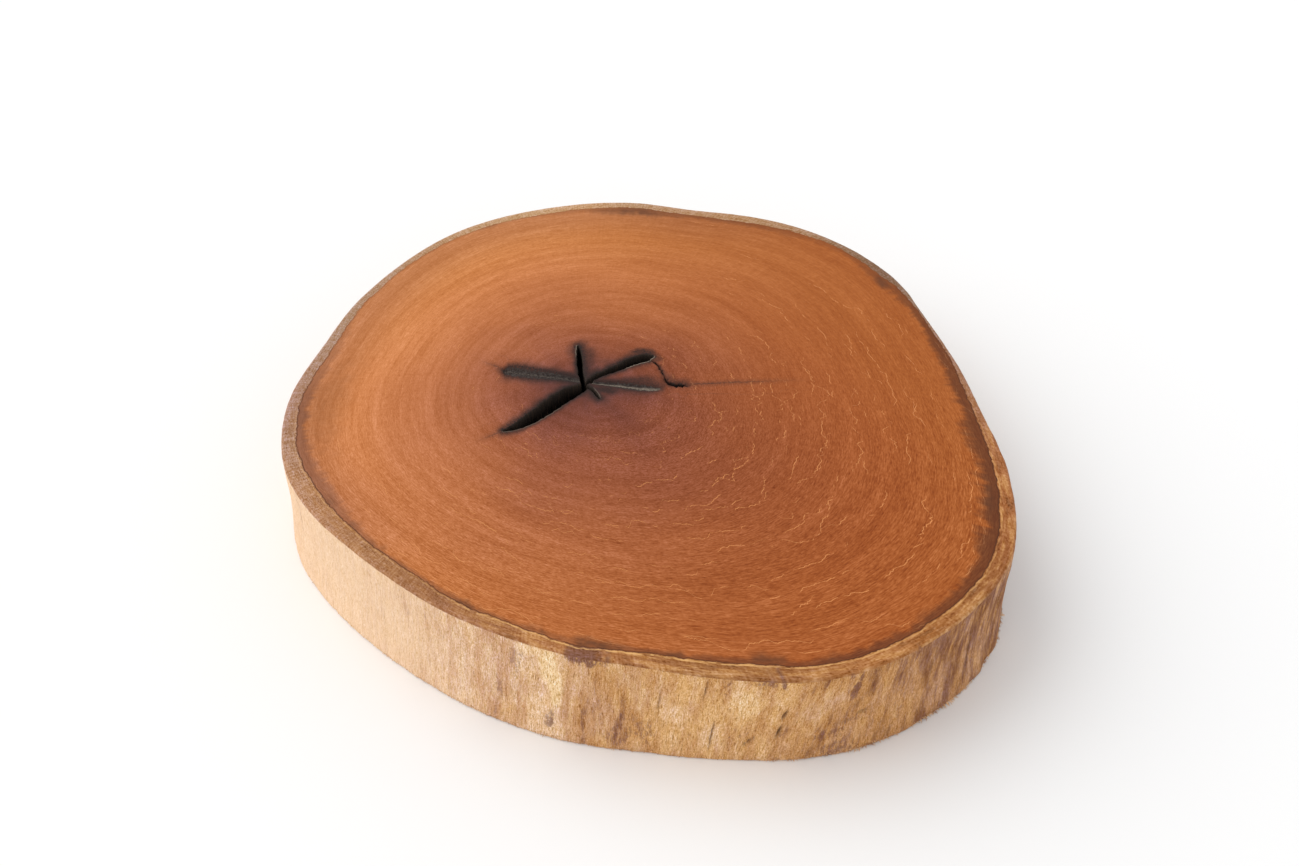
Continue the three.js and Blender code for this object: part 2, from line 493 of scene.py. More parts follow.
def check_loop(share, spread):
    """The heart check's outline, anticlockwise: out along the right lip of each arm to its
    tip, and back along its left lip. It has the same number of points at every width."""
    pairs = [lips(arm, share, spread) for arm in ARMS]
    starts = {}
    for i, (_, left) in enumerate(pairs):
        after = (i + 1) % len(pairs)
        starts[i, "left"], starts[after, "right"] = crossing(left, pairs[after][0])
    loop = []
    for i, (right, left) in enumerate(pairs):
        count = int(len(right) * 0.95)
        loop.append(stretch(right, starts[i, "right"], count))
        loop.append(stretch(left, starts[i, "left"], count)[::-1][:-1])
    return np.vstack(loop)


def nearest_place(points, line):
    """For each plan point, the nearest place of a line: its index, and the distance to it."""
    tree = KDTree(len(line))
    for i, (x, y) in enumerate(line[:, :2]):
        tree.insert((x, y, 0.0), i)
    tree.balance()
    found = [tree.find((x, y, 0.0)) for x, y in points[:, :2]]
    return np.array([f[1] for f in found]), np.array([f[2] for f in found])


def side_of(points, line):
    """Distance of plan points from a run of stations, negative on its right, and the place
    along it: the width there, and the share of its length."""
    place, gap = nearest_place(points, line)
    along = np.gradient(line[:, :2], axis=0)[place]
    offset = points[:, :2] - line[place, :2]
    turn = along[:, 0] * offset[:, 1] - along[:, 1] * offset[:, 0]
    return np.where(turn < 0, -gap, gap), line[place, 2], place / (len(line) - 1)


# Circles in plan that hold what is near the heart check: x, y and radius.
GROOVE_AREA = (-20.0, 22.0, 60.0)
SOOT_AREA = (-25.0, 15.0, 75.0)
LINE_AREA = (-20.0, 20.0, 80.0)


def within(points, area):
    """Which points are in a circle, as their places in the list."""
    x, y, radius = area
    return np.flatnonzero(np.hypot(points[:, 0] - x, points[:, 1] - y) < radius)


def groove_depth(points):
    """How deep the shallow grooves and the ring shake lie under the top face."""
    depth = np.zeros(len(points))
    near = within(points, GROOVE_AREA)
    for line, deepest, lip in GROOVES:
        gap, width, _ = side_of(points[near], line)
        half = np.maximum(width / 2.0, 0.3)
        hollow = np.clip(1.0 - (gap / (half + lip)) ** 2, 0.0, 1.0) ** 1.5
        rough = 1.0 + 0.3 * noise(with_height(points[near, :2], 0), 2.2, 41)
        found = deepest * hollow * rough * smoothstep(0, 2, width)
        depth[near] = np.maximum(depth[near], found)
    return depth


def inside_loop(points, loop):
    """Which plan points are inside a closed loop."""
    inside = np.zeros(len(points), bool)
    low, high = loop.min(axis=0), loop.max(axis=0)
    near = np.flatnonzero(((points[:, :2] > low) & (points[:, :2] < high)).all(axis=1))
    after = np.roll(loop, -1, axis=0)
    side = after - loop
    rise = np.where(np.abs(side[:, 1]) < 1e-12, 1e-12, side[:, 1])
    x, y = points[near, 0:1], points[near, 1:2]
    spans = (loop[None, :, 1] > y) != (after[None, :, 1] > y)
    reach = loop[None, :, 0] + (y - loop[None, :, 1]) / rise * side[None, :, 0]
    inside[near] = (spans & (x < reach)).sum(axis=1) % 2 == 1
    return inside


def inside_rim(points, rim):
    """Which plan points are inside the rim, which is a ring of points at ANGLES."""
    turn = np.arctan2(points[:, 1], points[:, 0]) % (2.0 * math.pi)
    here = np.floor(turn / ANGLES[1]).astype(int) % COLUMNS
    first, second = rim[here], rim[(here + 1) % COLUMNS]
    along, offset = second - first, points[:, :2] - first
    return along[:, 0] * offset[:, 1] - along[:, 1] * offset[:, 0] > 0


def divided(loop, parts):
    """A closed loop with each side divided into parts."""
    after = np.roll(loop, -1, axis=0)
    return np.concatenate([loop + (after - loop) * k / parts for k in range(parts)])


def gap_to_check(points, loop):
    """Distance of plan points from the heart check, negative inside it."""
    gap = nearest_place(points, divided(loop, 3))[1]
    return np.where(inside_loop(points, loop), -gap, gap)


def gap_to_rim(points, rim):
    """Distance of plan points from the rim, which is a ring of points at ANGLES. It is
    positive inside."""
    turn = np.arctan2(points[:, 1], points[:, 0]) % (2.0 * math.pi)
    radii = np.linalg.norm(rim, axis=1)
    reach = np.interp(turn, ANGLES, radii, period=2.0 * math.pi)
    gap = reach - np.linalg.norm(points[:, :2], axis=1)
    near = np.flatnonzero(np.abs(gap) < 40.0)
    exact = nearest_place(points[near], divided(rim, 2))[1]
    gap[near] = np.sign(gap[near]) * exact
    return gap


# ---- relief ----

REACH = 180.0  # a round trunk's radius, for laying the grain of the wall out evenly


def between_rows(rows, degrees, column):
    """A column of a table whose rows go by degrees round the slab, at any angle."""
    turns = np.array([row[0] for row in rows], float)
    values = np.array([row[column] for row in rows], float)
    return np.interp(degrees, turns, values, period=360.0)


def linear(shade):
    """A shade from 0 to 255, as the linear number that shaders use."""
    part = shade / 255.0
    return part / 12.92 if part <= 0.04045 else ((part + 0.055) / 1.055) ** 2.4


def turn_of(points):
    """Degrees round the slab, anticlockwise from +X."""
    return np.degrees(np.arctan2(points[:, 1], points[:, 0])) % 360.0


def round_trunk(degrees):
    """Places on a round trunk in these directions."""
    turn = np.radians(degrees)
    return np.column_stack([REACH * np.cos(turn), REACH * np.sin(turn), 0.0 * turn])


def grain_place(points):
    """Where each point of the wall would lie on a round trunk with upright grain."""
    turn = turn_of(points)
    lean = between_rows(GRAIN_LEAN, turn, 1)
    turn = np.radians(turn) - lean * (points[:, 2] - THICKNESS / 2.0) / REACH
    return np.column_stack([REACH * np.cos(turn), REACH * np.sin(turn), points[:, 2]])


def wall_marks(points, rows, ragged):
    """How much of each point of the wall the patches in rows cover. A row is degrees, height,
    half width, half height, lean and strength."""
    turn = turn_of(points)
    bend = ragged * noise(grain_place(points), (5, 5, 14), 51)
    bend += 0.6 * ragged * noise(grain_place(points), (1.8, 1.8, 7), 52)
    cover = np.zeros(len(points))
    for degrees, height, half_width, half_height, lean, strength in rows:
        up = points[:, 2] - height
        across = (turn - degrees + 180.0) % 360.0 - 180.0
        across = np.radians(across) * np.hypot(points[:, 0], points[:, 1]) - lean * up
        gap = np.hypot(across / half_width, up / half_height) + bend
        cover = np.maximum(cover, strength * (1.0 - smoothstep(0.45, 1.25, gap)))
    return cover


def wall_relief(points):
    """How far the debarked side stands out at each point of the wall: broad flutes, ripples
    and fibres, all drawn out along the grain, and a few gouges."""
    grain = grain_place(points)
    fluted = between_rows(WALL_TONES, turn_of(points), 2)
    relief = 0.45 * noise(grain, (30, 30, 120), 3)
    relief += fluted * 0.55 * noise(grain, (8, 8, 70), 5)
    relief += 0.20 * noise(grain, (4.5, 4.5, 30), 7)
    relief += 0.13 * noise(grain, (2.2, 2.2, 15), 11)
    relief += 0.10 * noise(grain, (1.3, 1.3, 7), 13)
    return relief - 0.9 * wall_marks(points, GOUGES, 0.35)


BOX_GAP = 0.05  # how far the wall stays inside the CAD solid's box
ROOM = np.minimum(  # from the slab's middle to there, in each direction
    (SLAB_HIGH[0] - BOX_GAP) / np.maximum(np.abs(OUTWARD[:, 0]), 1e-9),
    (SLAB_HIGH[1] - BOX_GAP) / np.maximum(np.abs(OUTWARD[:, 1]), 1e-9),
)


def wall_rings():
    """The wall as rings of points, from the top face down to the underside."""
    rounding = np.linspace(0.0, math.pi / 2.0, ROUNDING_STEPS)
    profile = [
        (THICKNESS - RIM_ROUNDING * (1 - math.cos(a)), RIM_ROUNDING * (1 - math.sin(a)))
        for a in rounding
    ]
    steps = int((THICKNESS - RIM_ROUNDING - FOOT_ROUNDING) / WALL_STEP)
    heights = np.linspace(THICKNESS - RIM_ROUNDING, FOOT_ROUNDING, steps + 1)[1:]
    profile += [(z, 0.0) for z in heights]
    profile += [(0.35 * FOOT_ROUNDING, 0.3 * FOOT_ROUNDING), (0.0, FOOT_ROUNDING)]
    rings = []
    for z, inset in profile:
        plain = radii_at(z)
        relief = wall_relief(with_height(OUTWARD * plain[:, None], z))
        worn = 0.25 + 0.75 * smoothstep(0.0, 6.0, THICKNESS - z)
        radii = np.minimum(plain - inset + worn * relief, ROOM)
        rings.append(with_height(OUTWARD * radii[:, None], z))
    return rings


def check_rings(rim):
    """The heart check's walls as loops of points, from the lips down to the underside."""
    lip = check_loop(1.0, 0.6 * LIP_RADIUS)
    lip_height = top_height(lip, rim)
    widths = np.vstack([arm[:, :3] for arm in ARMS])
    wide = widths[nearest_place(lip, widths)[0], 2]
    torn = smoothstep(0.2, 3.5, wide)
    fall = np.linspace(0.0, 1.0, CHECK_LEVELS) ** 1.8
    rings = []
    for share in fall:
        worn = np.clip(1.0 - share * THICKNESS / (1.6 * LIP_RADIUS), 0.0, 1.0) ** 2
        plan = check_loop(1.0 - (1.0 - CHECK_TAPER) * share, 0.6 * LIP_RADIUS * worn)
        after, before = np.roll(plan, -1, axis=0), np.roll(plan, 1, axis=0)
        along = (after - before) / np.linalg.norm(after - before, axis=1)[:, None]
        outward = np.column_stack([along[:, 1], -along[:, 0]])
        at = with_height(plan, lip_height * (1.0 - share))
        rough = 0.42 * noise(at, (3.2, 3.2, 24), 21) + 0.26 * noise(at, (1.4, 1.4, 12), 23)
        plan = plan + outward * (torn * rough)[:, None]
        rings.append(with_height(plan, lip_height * (1.0 - share)))
    return rings


# ---- faces ----


ROW_SPACING = 0.866  # between the rows of a grid of triangles, as a share of its spacing
COARSEST_SHARE = 1.42  # a level leaves places wanting more than this times its spacing


def spread_points(room_at, spacing_at, levels, seed):
    """Plan points over the slab, close together where spacing_at says so. Each level is a
    spacing and the box it is needed in."""
    draw = np.random.default_rng(seed)
    kept = []
    for k, (spacing, (x0, y0, x1, y1)) in enumerate(levels):
        finer = levels[k + 1][0] if k + 1 < len(levels) else 0.0
        columns = np.arange(int((x1 - x0) / spacing))
        rows = np.arange(int((y1 - y0) / (ROW_SPACING * spacing)))
        i, j = np.meshgrid(columns, rows)
        x = x0 + (i + 0.5 * (j % 2)).ravel() * spacing
        grid = np.column_stack([x, y0 + ROW_SPACING * spacing * j.ravel()])
        grid = grid + draw.uniform(-0.18, 0.18, grid.shape) * spacing
        room = room_at(grid)
        grid, room = grid[room > 0.55 * spacing], room[room > 0.55 * spacing]
        wanted = spacing_at(grid, room)
        most = np.inf if k == 0 else spacing * COARSEST_SHARE
        kept.append(grid[(wanted >= (spacing + finer) / 2.0) & (wanted < most)])
    return np.vstack(kept)


def triangulated(outer, hole, loose):
    """Triangles between an outer ring and a hole, through loose points. The faces' corners
    count through outer, then hole, then loose."""
    points = np.vstack([outer, hole, loose])
    edges = [(i, (i + 1) % len(outer)) for i in range(len(outer))]
    edges += [(len(outer) + i, len(outer) + (i + 1) % len(hole)) for i in range(len(hole))]
    found = delaunay_2d_cdt([Vector(p) for p in points], edges, [], 0, 1e-6)
    verts, faces, sources = found[0], found[2], found[3]
    if len(verts) != len(points):
        raise ValueError("the rim or the heart check crosses itself")
    back = np.array([source[0] for source in sources])
    tris = back[np.array(faces)]
    middles = points[tris].mean(axis=1)
    tris = tris[inside_rim(middles, outer) & ~inside_loop(middles, hole)]
    a, b, c = (points[tris[:, k]] for k in range(3))
    turn = (b[:, 0] - a[:, 0]) * (c[:, 1] - a[:, 1]) - (b[:, 1] - a[:, 1]) * (c[:, 0] - a[:, 0])
    tris[turn < 0] = tris[turn < 0][:, ::-1]
    return tris


def ring_faces(first, second, count):
    """Quads between two rings that start at these places in the list of points."""
    i = np.arange(count)
    j = (i + 1) % count
    return np.column_stack([first + i, first + j, second + j, second + i])


WHOLE_FACE = (SLAB_LOW[0], SLAB_LOW[1], SLAB_HIGH[0], SLAB_HIGH[1])
HEART = (-95.0, -45.0, 55.0, 75.0)
TOP_LEVELS = ((3.6, WHOLE_FACE), (2.2, WHOLE_FACE), (1.2, HEART), (0.6, HEART))
FOOT_LEVELS = ((8.0, WHOLE_FACE), (4.0, WHOLE_FACE), (2.0, HEART))


def room_between(rim, hole):
    """A function for how far plan points are from the rim and the check, the nearer of them."""
    return lambda points: np.minimum(gap_to_rim(points, rim), gap_to_check(points, hole))


def spread_top(rim, hole):
    """Loose points of the top face: closest in the grooves, close round the heart check."""

    def spacing_at(points, room):
        check = gap_to_check(points, hole)
        wanted = np.minimum(1.0 + 0.16 * np.maximum(check - 3.0, 0), 1.6 + 0.3 * room)
        return np.where(groove_depth(points) > 0.02, 0.6, np.minimum(wanted, 3.6))

    return spread_points(room_between(rim, hole), spacing_at, TOP_LEVELS, 5)


def spread_foot(rim, hole):
    """Loose points of the underside."""

    def spacing_at(points, room):
        return np.minimum(1.5 + 0.5 * room, 8.0)

    return spread_points(room_between(rim, hole), spacing_at, FOOT_LEVELS, 6)


def top_height(plan, rim):
    """Height of the sanded top face: a little uneven, and sunk along the grooves."""
    wave = 0.07 + 0.06 * noise(with_height(plan[:, :2], 0.0), 24.0, 31)
    sunk = wave * smoothstep(0.0, 8.0, gap_to_rim(plan, rim))
    return THICKNESS - sunk - groove_depth(plan)


def build_slab():
    """The slab's points in millimetres, its faces, the finish of each face, and the heart
    check's lips."""
    wall = wall_rings()
    rim = wall[0][:, :2]
    check = check_rings(rim)
    hole = check[0][:, :2]
    foot, foot_hole = wall[-1][:, :2], check[-1][:, :2]
    top_loose = spread_top(rim, hole)
    foot_loose = spread_foot(foot, foot_hole)
    top_points = with_height(top_loose, top_height(top_loose, rim))

    blocks = [*wall, *check, top_points, with_height(foot_loose, 0.0)]
    starts = np.concatenate([[0], np.cumsum([len(block) for block in blocks])])
    points = np.vstack(blocks)
    first = len(wall)
    loop = len(hole)
    faces, finishes = [], []

    def add(found, finish):
        faces.extend(found.tolist())
        finishes.extend([finish] * len(found))

    def placed(tris, outer, inner, loose):
        """Corners counted as in triangulated, as places in the list of points."""
        is_outer, is_inner = tris < COLUMNS, tris < COLUMNS + loop
        inner_place = tris - COLUMNS + inner
        loose_place = tris - COLUMNS - loop + loose
        return np.where(is_outer, tris + outer, np.where(is_inner, inner_place, loose_place))

    for k in range(len(wall) - 1):
        finish = TOP_FINISH if k < ROUNDING_STEPS - 1 else SIDE_FINISH
        add(ring_faces(starts[k + 1], starts[k], COLUMNS), finish)
    for k in range(first, first + len(check) - 1):
        add(ring_faces(starts[k], starts[k + 1], loop), CHECK_FINISH)
    tris = triangulated(rim, hole, top_loose)
    add(placed(tris, starts[0], starts[first], starts[-3]), TOP_FINISH)
    tris = triangulated(foot, foot_hole, foot_loose)
    tris = placed(tris, starts[first - 1], starts[first + len(check) - 1], starts[-2])
    add(tris[:, ::-1], UNDERSIDE_FINISH)
    return points, faces, finishes, hole


# ---- what each place of the slab is like, for its materials ----


RING_SMOOTHING = 34.0  # degrees, evens out the rings near the pith


def pith_place(points, rim):
    """Plan places moved so that the growth rings, which are round at the pith and follow the
    rim further out, all become circles about the pith."""
    offset = points[:, :2] - PITH
    reach = np.hypot(offset[:, 0], offset[:, 1])
    ring = rim - PITH
    ring_turn = np.unwrap(np.arctan2(ring[:, 1], ring[:, 0]))
    turns = np.linspace(-math.pi, math.pi, 720, endpoint=False)
    full = np.interp(turns, ring_turn, np.linalg.norm(ring, axis=1), period=2 * math.pi)
    calm = evened(full, RING_SMOOTHING)
    turn = np.arctan2(offset[:, 1], offset[:, 0])
    far = np.interp(turn, turns, full, period=2 * math.pi)
    even = np.interp(turn, turns, calm, period=2 * math.pi)
    share = smoothstep(0.55, 1.0, reach / far)
    limit = (1 - share) * even + share * far
    return offset * (full.mean() / limit)[:, None]


def soot(points, hole):
    """How far soot has darkened the top face round the checks and grooves, from 0 to 1."""
    near = within(points, SOOT_AREA)
    found = np.zeros(len(points))
    at = points[near]
    rough = 1.0 + 0.30 * noise(with_height(at[:, :2], 0), 5.0, 61)
    rough += 0.15 * noise(with_height(at[:, :2], 0), 2.0, 62)
    gap = np.maximum(gap_to_check(at, hole), 0.0)
    reach = between_rows(SOOT_REACH, turn_of(at[:, :2] - PITH), 1)
    cover = 0.95 * np.exp(-((gap / (reach * rough)) ** 1.9))
    for line, strength, reach in ((LEFT_LINE, 0.95, 3.3), (RIGHT_LINE, 0.85, 2.8)):
        side, width, share = side_of(at, line)
        gap = np.maximum(np.abs(side) - 0.5 * width, 0.0)
        fade = 1.0 - 0.08 * share
        cover = np.maximum(cover, strength * fade * np.exp(-((gap / (reach * rough)) ** 1.9)))
    side, width, share = side_of(at, SHAKE_LINE)
    gap = np.maximum(np.abs(side) - 0.3 * width, 0.0)
    reach = 0.7 + 1.1 * smoothstep(0.55, 0.8, share)
    cover = np.maximum(cover, 0.75 * np.exp(-((gap / (reach * rough)) ** 1.3)))
    for x, y, half_length, half_width, strength in SOOT_PATCHES:
        patch = np.hypot((at[:, 0] - x) / half_length, (at[:, 1] - y) / half_width)
        cover = np.maximum(cover, strength * smoothstep(1.3, 0.3, patch / rough))
    found[near] = cover
    return found


def lip_highlights(points):
    """Where a painted highlight lies along a lip of the heart check."""
    near = within(points, SOOT_AREA)
    at = points[near]
    cover = np.zeros(len(near))
    for name, hand, first, last, strength in LIT_LIP_RUNS:
        line = ARMS[list(OPEN_CHECKS).index(name)]
        side, width, share = side_of(at, line)
        beside = smoothstep(4.0, 2.0, np.abs(side) - 0.5 * width) * (hand * side > 0)
        run = smoothstep(first - 0.08, first + 0.08, share) * smoothstep(last + 0.1, last, share)
        cover = np.maximum(cover, strength * beside * run)
    found = np.zeros(len(points))
    found[near] = cover
    return found


LINE_SPAN = 12  # how far from a groove its distance is still told


def line_gap(points, line):
    """Signed distance from a groove's middle, held to LINE_SPAN either side."""
    near = within(points, LINE_AREA)
    found = np.full(len(points), float(LINE_SPAN))
    found[near] = np.clip(side_of(points[near], line)[0], -LINE_SPAN, LINE_SPAN)
    return found


def faint_line(points):
    """Signed distance from the nearest faint line, and how strong it is there."""
    gaps, strengths = np.full(len(points), 9.0), np.zeros(len(points))
    for stations in FAINT_LINES:
        line = resampled([(x, y, 1.0) for x, y in stations], 1.0)
        side, _, share = side_of(points, line)
        near = np.abs(side) < np.abs(gaps)
        gaps = np.where(near, side, gaps)
        past = smoothstep(14.0, 4.0, np.abs(side))
        strengths = np.where(near, (1.0 - smoothstep(0.25, 1.0, share)) * past, strengths)
    return gaps, strengths


def smudges(points, rim_gap):
    """How dark the smudges at the heart edge make each place of the top face."""
    turn = turn_of(points)
    bend = 0.35 * noise(with_height(points[:, :2], 0), 3.0, 71)
    cover = np.zeros(len(points))
    for degrees, depth, half_length, half_width, strength in SMUDGES:
        across = (turn - degrees + 180.0) % 360.0 - 180.0
        across = np.radians(across) * np.hypot(points[:, 0], points[:, 1])
        gap = np.hypot(across / half_length, (rim_gap - depth) / half_width) + bend
        cover = np.maximum(cover, strength * (1.0 - smoothstep(0.3, 1.3, gap)))
    return cover


def place_values(points, rim, hole):
    """The slab's attributes: a name and a number, or a vector, for each point."""
    turn = turn_of(points)
    rim_gap = gap_to_rim(points, rim)
    sapwood = between_rows(HEART_EDGE, turn, 1)
    sapwood += 0.45 * noise(round_trunk(turn), 7.0, 81)
    shades = [between_rows(HEART_EDGE, turn, column) for column in (4, 5, 6)]
    shade = np.column_stack([[linear(c) for c in column] for column in shades])
    gap, strength = faint_line(points)
    return {
        "ring_place": with_height(pith_place(points, rim), 0.0),
        "heart_gap": rim_gap - sapwood,
        "rim_gap": rim_gap,
        "stain_width": between_rows(HEART_EDGE, turn, 2),
        "stain": between_rows(HEART_EDGE, turn, 3),
        "smudge": smudges(points, rim_gap),
        "sapwood_shade": shade,
        "soot": soot(points, hole),
        # painted highlights along the lips of the heart check
        "lip_highlight": lip_highlights(points),
        "groove": groove_depth(points),
        "check_gap": np.clip(gap_to_check(points, hole), -9.0, 9.0),
        "left_groove": line_gap(points, LEFT_LINE),
        "right_groove": line_gap(points, RIGHT_LINE),
        "ring_shake": line_gap(points, SHAKE_LINE),
        "faint_gap": gap,
        "faint": strength,
        "grain_place": grain_place(points),
        # the wall's brown: weathering, and painted shade on the side away from the window
        "brown": between_rows(WALL_TONES, turn, 1),
        "ochre": between_rows(WALL_TONES, turn, 3),
        "mottled": between_rows(WALL_TONES, turn, 4),
        "cream": wall_marks(points, CREAM_PATCHES, 0.4),
        "purple": wall_marks(points, PURPLE_PATCHES, 0.45),
        "gouge": wall_marks(points, GOUGES, 0.35),
    }


TOP_FINISH, SIDE_FINISH, CHECK_FINISH, UNDERSIDE_FINISH = range(4)
SHARP_DEGREES = 55.0  # corners sharper than this are not shaded smooth


def make_slab(materials):
    """The slab as one closed mesh, with the attributes that its materials read."""
    points, faces, finishes, hole = build_slab()
    rim = OUTWARD * radii_at(THICKNESS)[:, None]
    mesh = bpy.data.meshes.new("wood_slab")
    mesh.from_pydata((points * MM).tolist(), [], faces)
    mesh.polygons.foreach_set("material_index", finishes)
    for name, values in place_values(points, rim, hole).items():
        kind, field = ("FLOAT_VECTOR", "vector") if values.ndim == 2 else ("FLOAT", "value")
        layer = mesh.attributes.new(name, kind, "POINT")
        layer.data.foreach_set(field, np.ascontiguousarray(values, np.float32).ravel())
    for material in materials:
        mesh.materials.append(material)
    mesh.shade_smooth()
    mesh.set_sharp_from_angle(angle=math.radians(SHARP_DEGREES))
    mesh.update()
    slab = bpy.data.objects.new("wood_slab", mesh)
    bpy.context.scene.collection.objects.link(slab)
    return slab


# ---- nodes, for materials and for shapes ----


def plug(tree, socket, value):
    """Gives an input its value, or links it to another node's output."""
    if isinstance(value, bpy.types.NodeSocket):
        tree.links.new(value, socket)
    else:
        socket.default_value = value


def add_node(tree, kind, inputs=(), output=0, **settings):
    """Adds a node and returns one of its outputs. An input is a value or an output."""
    new = tree.nodes.new(kind)
    for name, value in settings.items():
        setattr(new, name, value)
    for key, value in dict(inputs).items():
        plug(tree, new.inputs[key], value)
    return new.outputs[output]


def node(tree, kind, inputs=(), output=0, **settings):
    """Adds a shader node. Geometry trees hold some of the same kinds, such as Math."""
    return add_node(tree, "ShaderNode" + kind, inputs, output, **settings)


def maths(tree, operation, first, second=0.0):
    return node(tree, "Math", {0: first, 1: second}, operation=operation)


def vectors(tree, operation, first, second):
    return node(tree, "VectorMath", {0: first, 1: second}, operation=operation)


def scaled(tree, vector, factor):
    return node(tree, "VectorMath", {0: vector, "Scale": factor}, operation="SCALE")


def length_of(tree, vector):
    return node(tree, "VectorMath", {0: vector}, 1, operation="LENGTH")


def direction_of(tree, vector):
    return node(tree, "VectorMath", {0: vector}, operation="NORMALIZE")


def total(tree, *parts):
    """The sum of values or outputs."""
    found = parts[0]
    for part in parts[1:]:
        found = maths(tree, "ADD", found, part)
    return found


def product(tree, *factors):
    """All of these values or outputs multiplied together."""
    found = factors[0]
    for factor in factors[1:]:
        found = maths(tree, "MULTIPLY", found, factor)
    return found


def swung(tree, value, strength):
    """Noise, which is about 0.5, as a push either way about 0."""
    return maths(tree, "MULTIPLY", maths(tree, "SUBTRACT", value, 0.5), strength)


def about_one(tree, value, strength):
    """Noise, which is about 0.5, as a factor about 1."""
    return maths(tree, "ADD", swung(tree, value, strength), 1.0)


def slanted(tree, x, y, across, back):
    """How far a place lies along a slanting direction over the slab."""
    return total(tree, product(tree, x, across), product(tree, y, back))


def ranged(tree, value, low, high, first=0.0, last=1.0):
    """first where value is low, last where it is high, and an eased change between them."""
    inputs = {"Value": value, 1: low, 2: high, 3: first, 4: last}
    return node(tree, "MapRange", inputs, interpolation_type="SMOOTHSTEP")


def line_at(tree, offset, core, fade):
    """1 within core of a line, falling to 0 at fade. offset is a signed distance from it."""
    return ranged(tree, maths(tree, "ABSOLUTE", offset), core, fade, 1.0, 0.0)


def mixed(tree, factor, first, second):
    """first where factor is 0 and second where it is 1. Both are colours."""
    inputs = {0: factor, 6: first, 7: second}
    return node(tree, "Mix", inputs, 2, data_type="RGBA")


RED_TONE, BLUE_TONE = 0.62, 1.85  # how strongly a factor changes red and blue, against green


def toned(tree, colour, figure):
    """A wood's colour made darker or paler by a factor. What is darker is also browner."""
    red = maths(tree, "POWER", figure, RED_TONE)
    blue = maths(tree, "POWER", figure, BLUE_TONE)
    tint = node(tree, "CombineXYZ", {"X": red, "Y": figure, "Z": blue})
    return vectors(tree, "MULTIPLY", colour, tint)


def attribute(tree, name, output="Fac"):
    return node(tree, "Attribute", output=output, attribute_name=name)


def object_place(tree):
    """The place on the slab in millimetres: x, y and z."""
    parts = tree.nodes.new("ShaderNodeSeparateXYZ")
    tree.links.new(object_vector(tree), parts.inputs[0])
    return parts.outputs


def object_vector(tree):
    """The place on the slab in millimetres, as one vector."""
    return scaled(tree, node(tree, "TexCoord", output="Object"), 1.0 / MM)


def paint(red, green, blue):
    """A colour from shades of 0 to 255, as shaders take it."""
    return (linear(red), linear(green), linear(blue), 1.0)


# ---- shader groups ----

FLOAT, INTEGER, VECTOR = "NodeSocketFloat", "NodeSocketInt", "NodeSocketVector"


def start_group(name, inputs, output):
    """A shader group with these sockets, its input sockets, and the socket for its result. An
    input is a name, a kind and a first value."""
    tree = bpy.data.node_groups.new(name, "ShaderNodeTree")
    for title, kind, value in inputs:
        socket = tree.interface.new_socket(title, in_out="INPUT", socket_type=kind)
        if value is not None:
            socket.default_value = value
    tree.interface.new_socket(output, in_out="OUTPUT", socket_type=FLOAT)
    given = tree.nodes.new("NodeGroupInput").outputs
    result = tree.nodes.new("NodeGroupOutput").inputs[output]
    return tree, given, result


def placed_group(tree, group, inputs):
    """Places a group in a tree with its own values, and returns its output."""
    return node(tree, "Group", inputs, node_tree=group)


def make_ring_noise():
    """Noise drawn out along the growth rings: Turns cells to a radian, Width mm across."""
    tree, given, result = start_group(
        "along_rings",
        [
            ("Place", VECTOR, None),
            ("Turns", FLOAT, 4.0),
            ("Width", FLOAT, 3.0),
            ("Detail", FLOAT, 2.0),
            ("Seed", FLOAT, 0.0),
        ],
        "Value",
    )
    outward = direction_of(tree, given["Place"])
    across = maths(tree, "DIVIDE", length_of(tree, given["Place"]), given["Width"])
    height = maths(tree, "ADD", across, given["Seed"])
    lift = node(tree, "CombineXYZ", {"X": given["Seed"], "Z": height})
    at = vectors(tree, "ADD", scaled(tree, outward, given["Turns"]), lift)
    inputs = {"Vector": at, "Scale": 1.0, "Detail": given["Detail"], "Roughness": 0.55}
    tree.links.new(node(tree, "TexNoise", inputs), result)
    return tree


def make_fibre_noise():
    """Noise drawn out along upright grain: Across and Along are a fibre's size in mm."""
    tree, given, result = start_group(
        "along_fibres",
        [
            ("Place", VECTOR, None),
            ("Across", FLOAT, 2.0),
            ("Along", FLOAT, 20.0),
            ("Detail", FLOAT, 2.0),
            ("Seed", FLOAT, 0.0),
        ],
        "Value",
    )
    inputs = {"X": given["Across"], "Y": given["Across"], "Z": given["Along"]}
    size = node(tree, "CombineXYZ", inputs)
    shift = node(tree, "CombineXYZ", {"X": given["Seed"], "Z": given["Seed"]})
    at = vectors(tree, "ADD", vectors(tree, "DIVIDE", given["Place"], size), shift)
    inputs = {"Vector": at, "Scale": 1.0, "Detail": given["Detail"], "Roughness": 0.6}
    tree.links.new(node(tree, "TexNoise", inputs), result)
    return tree


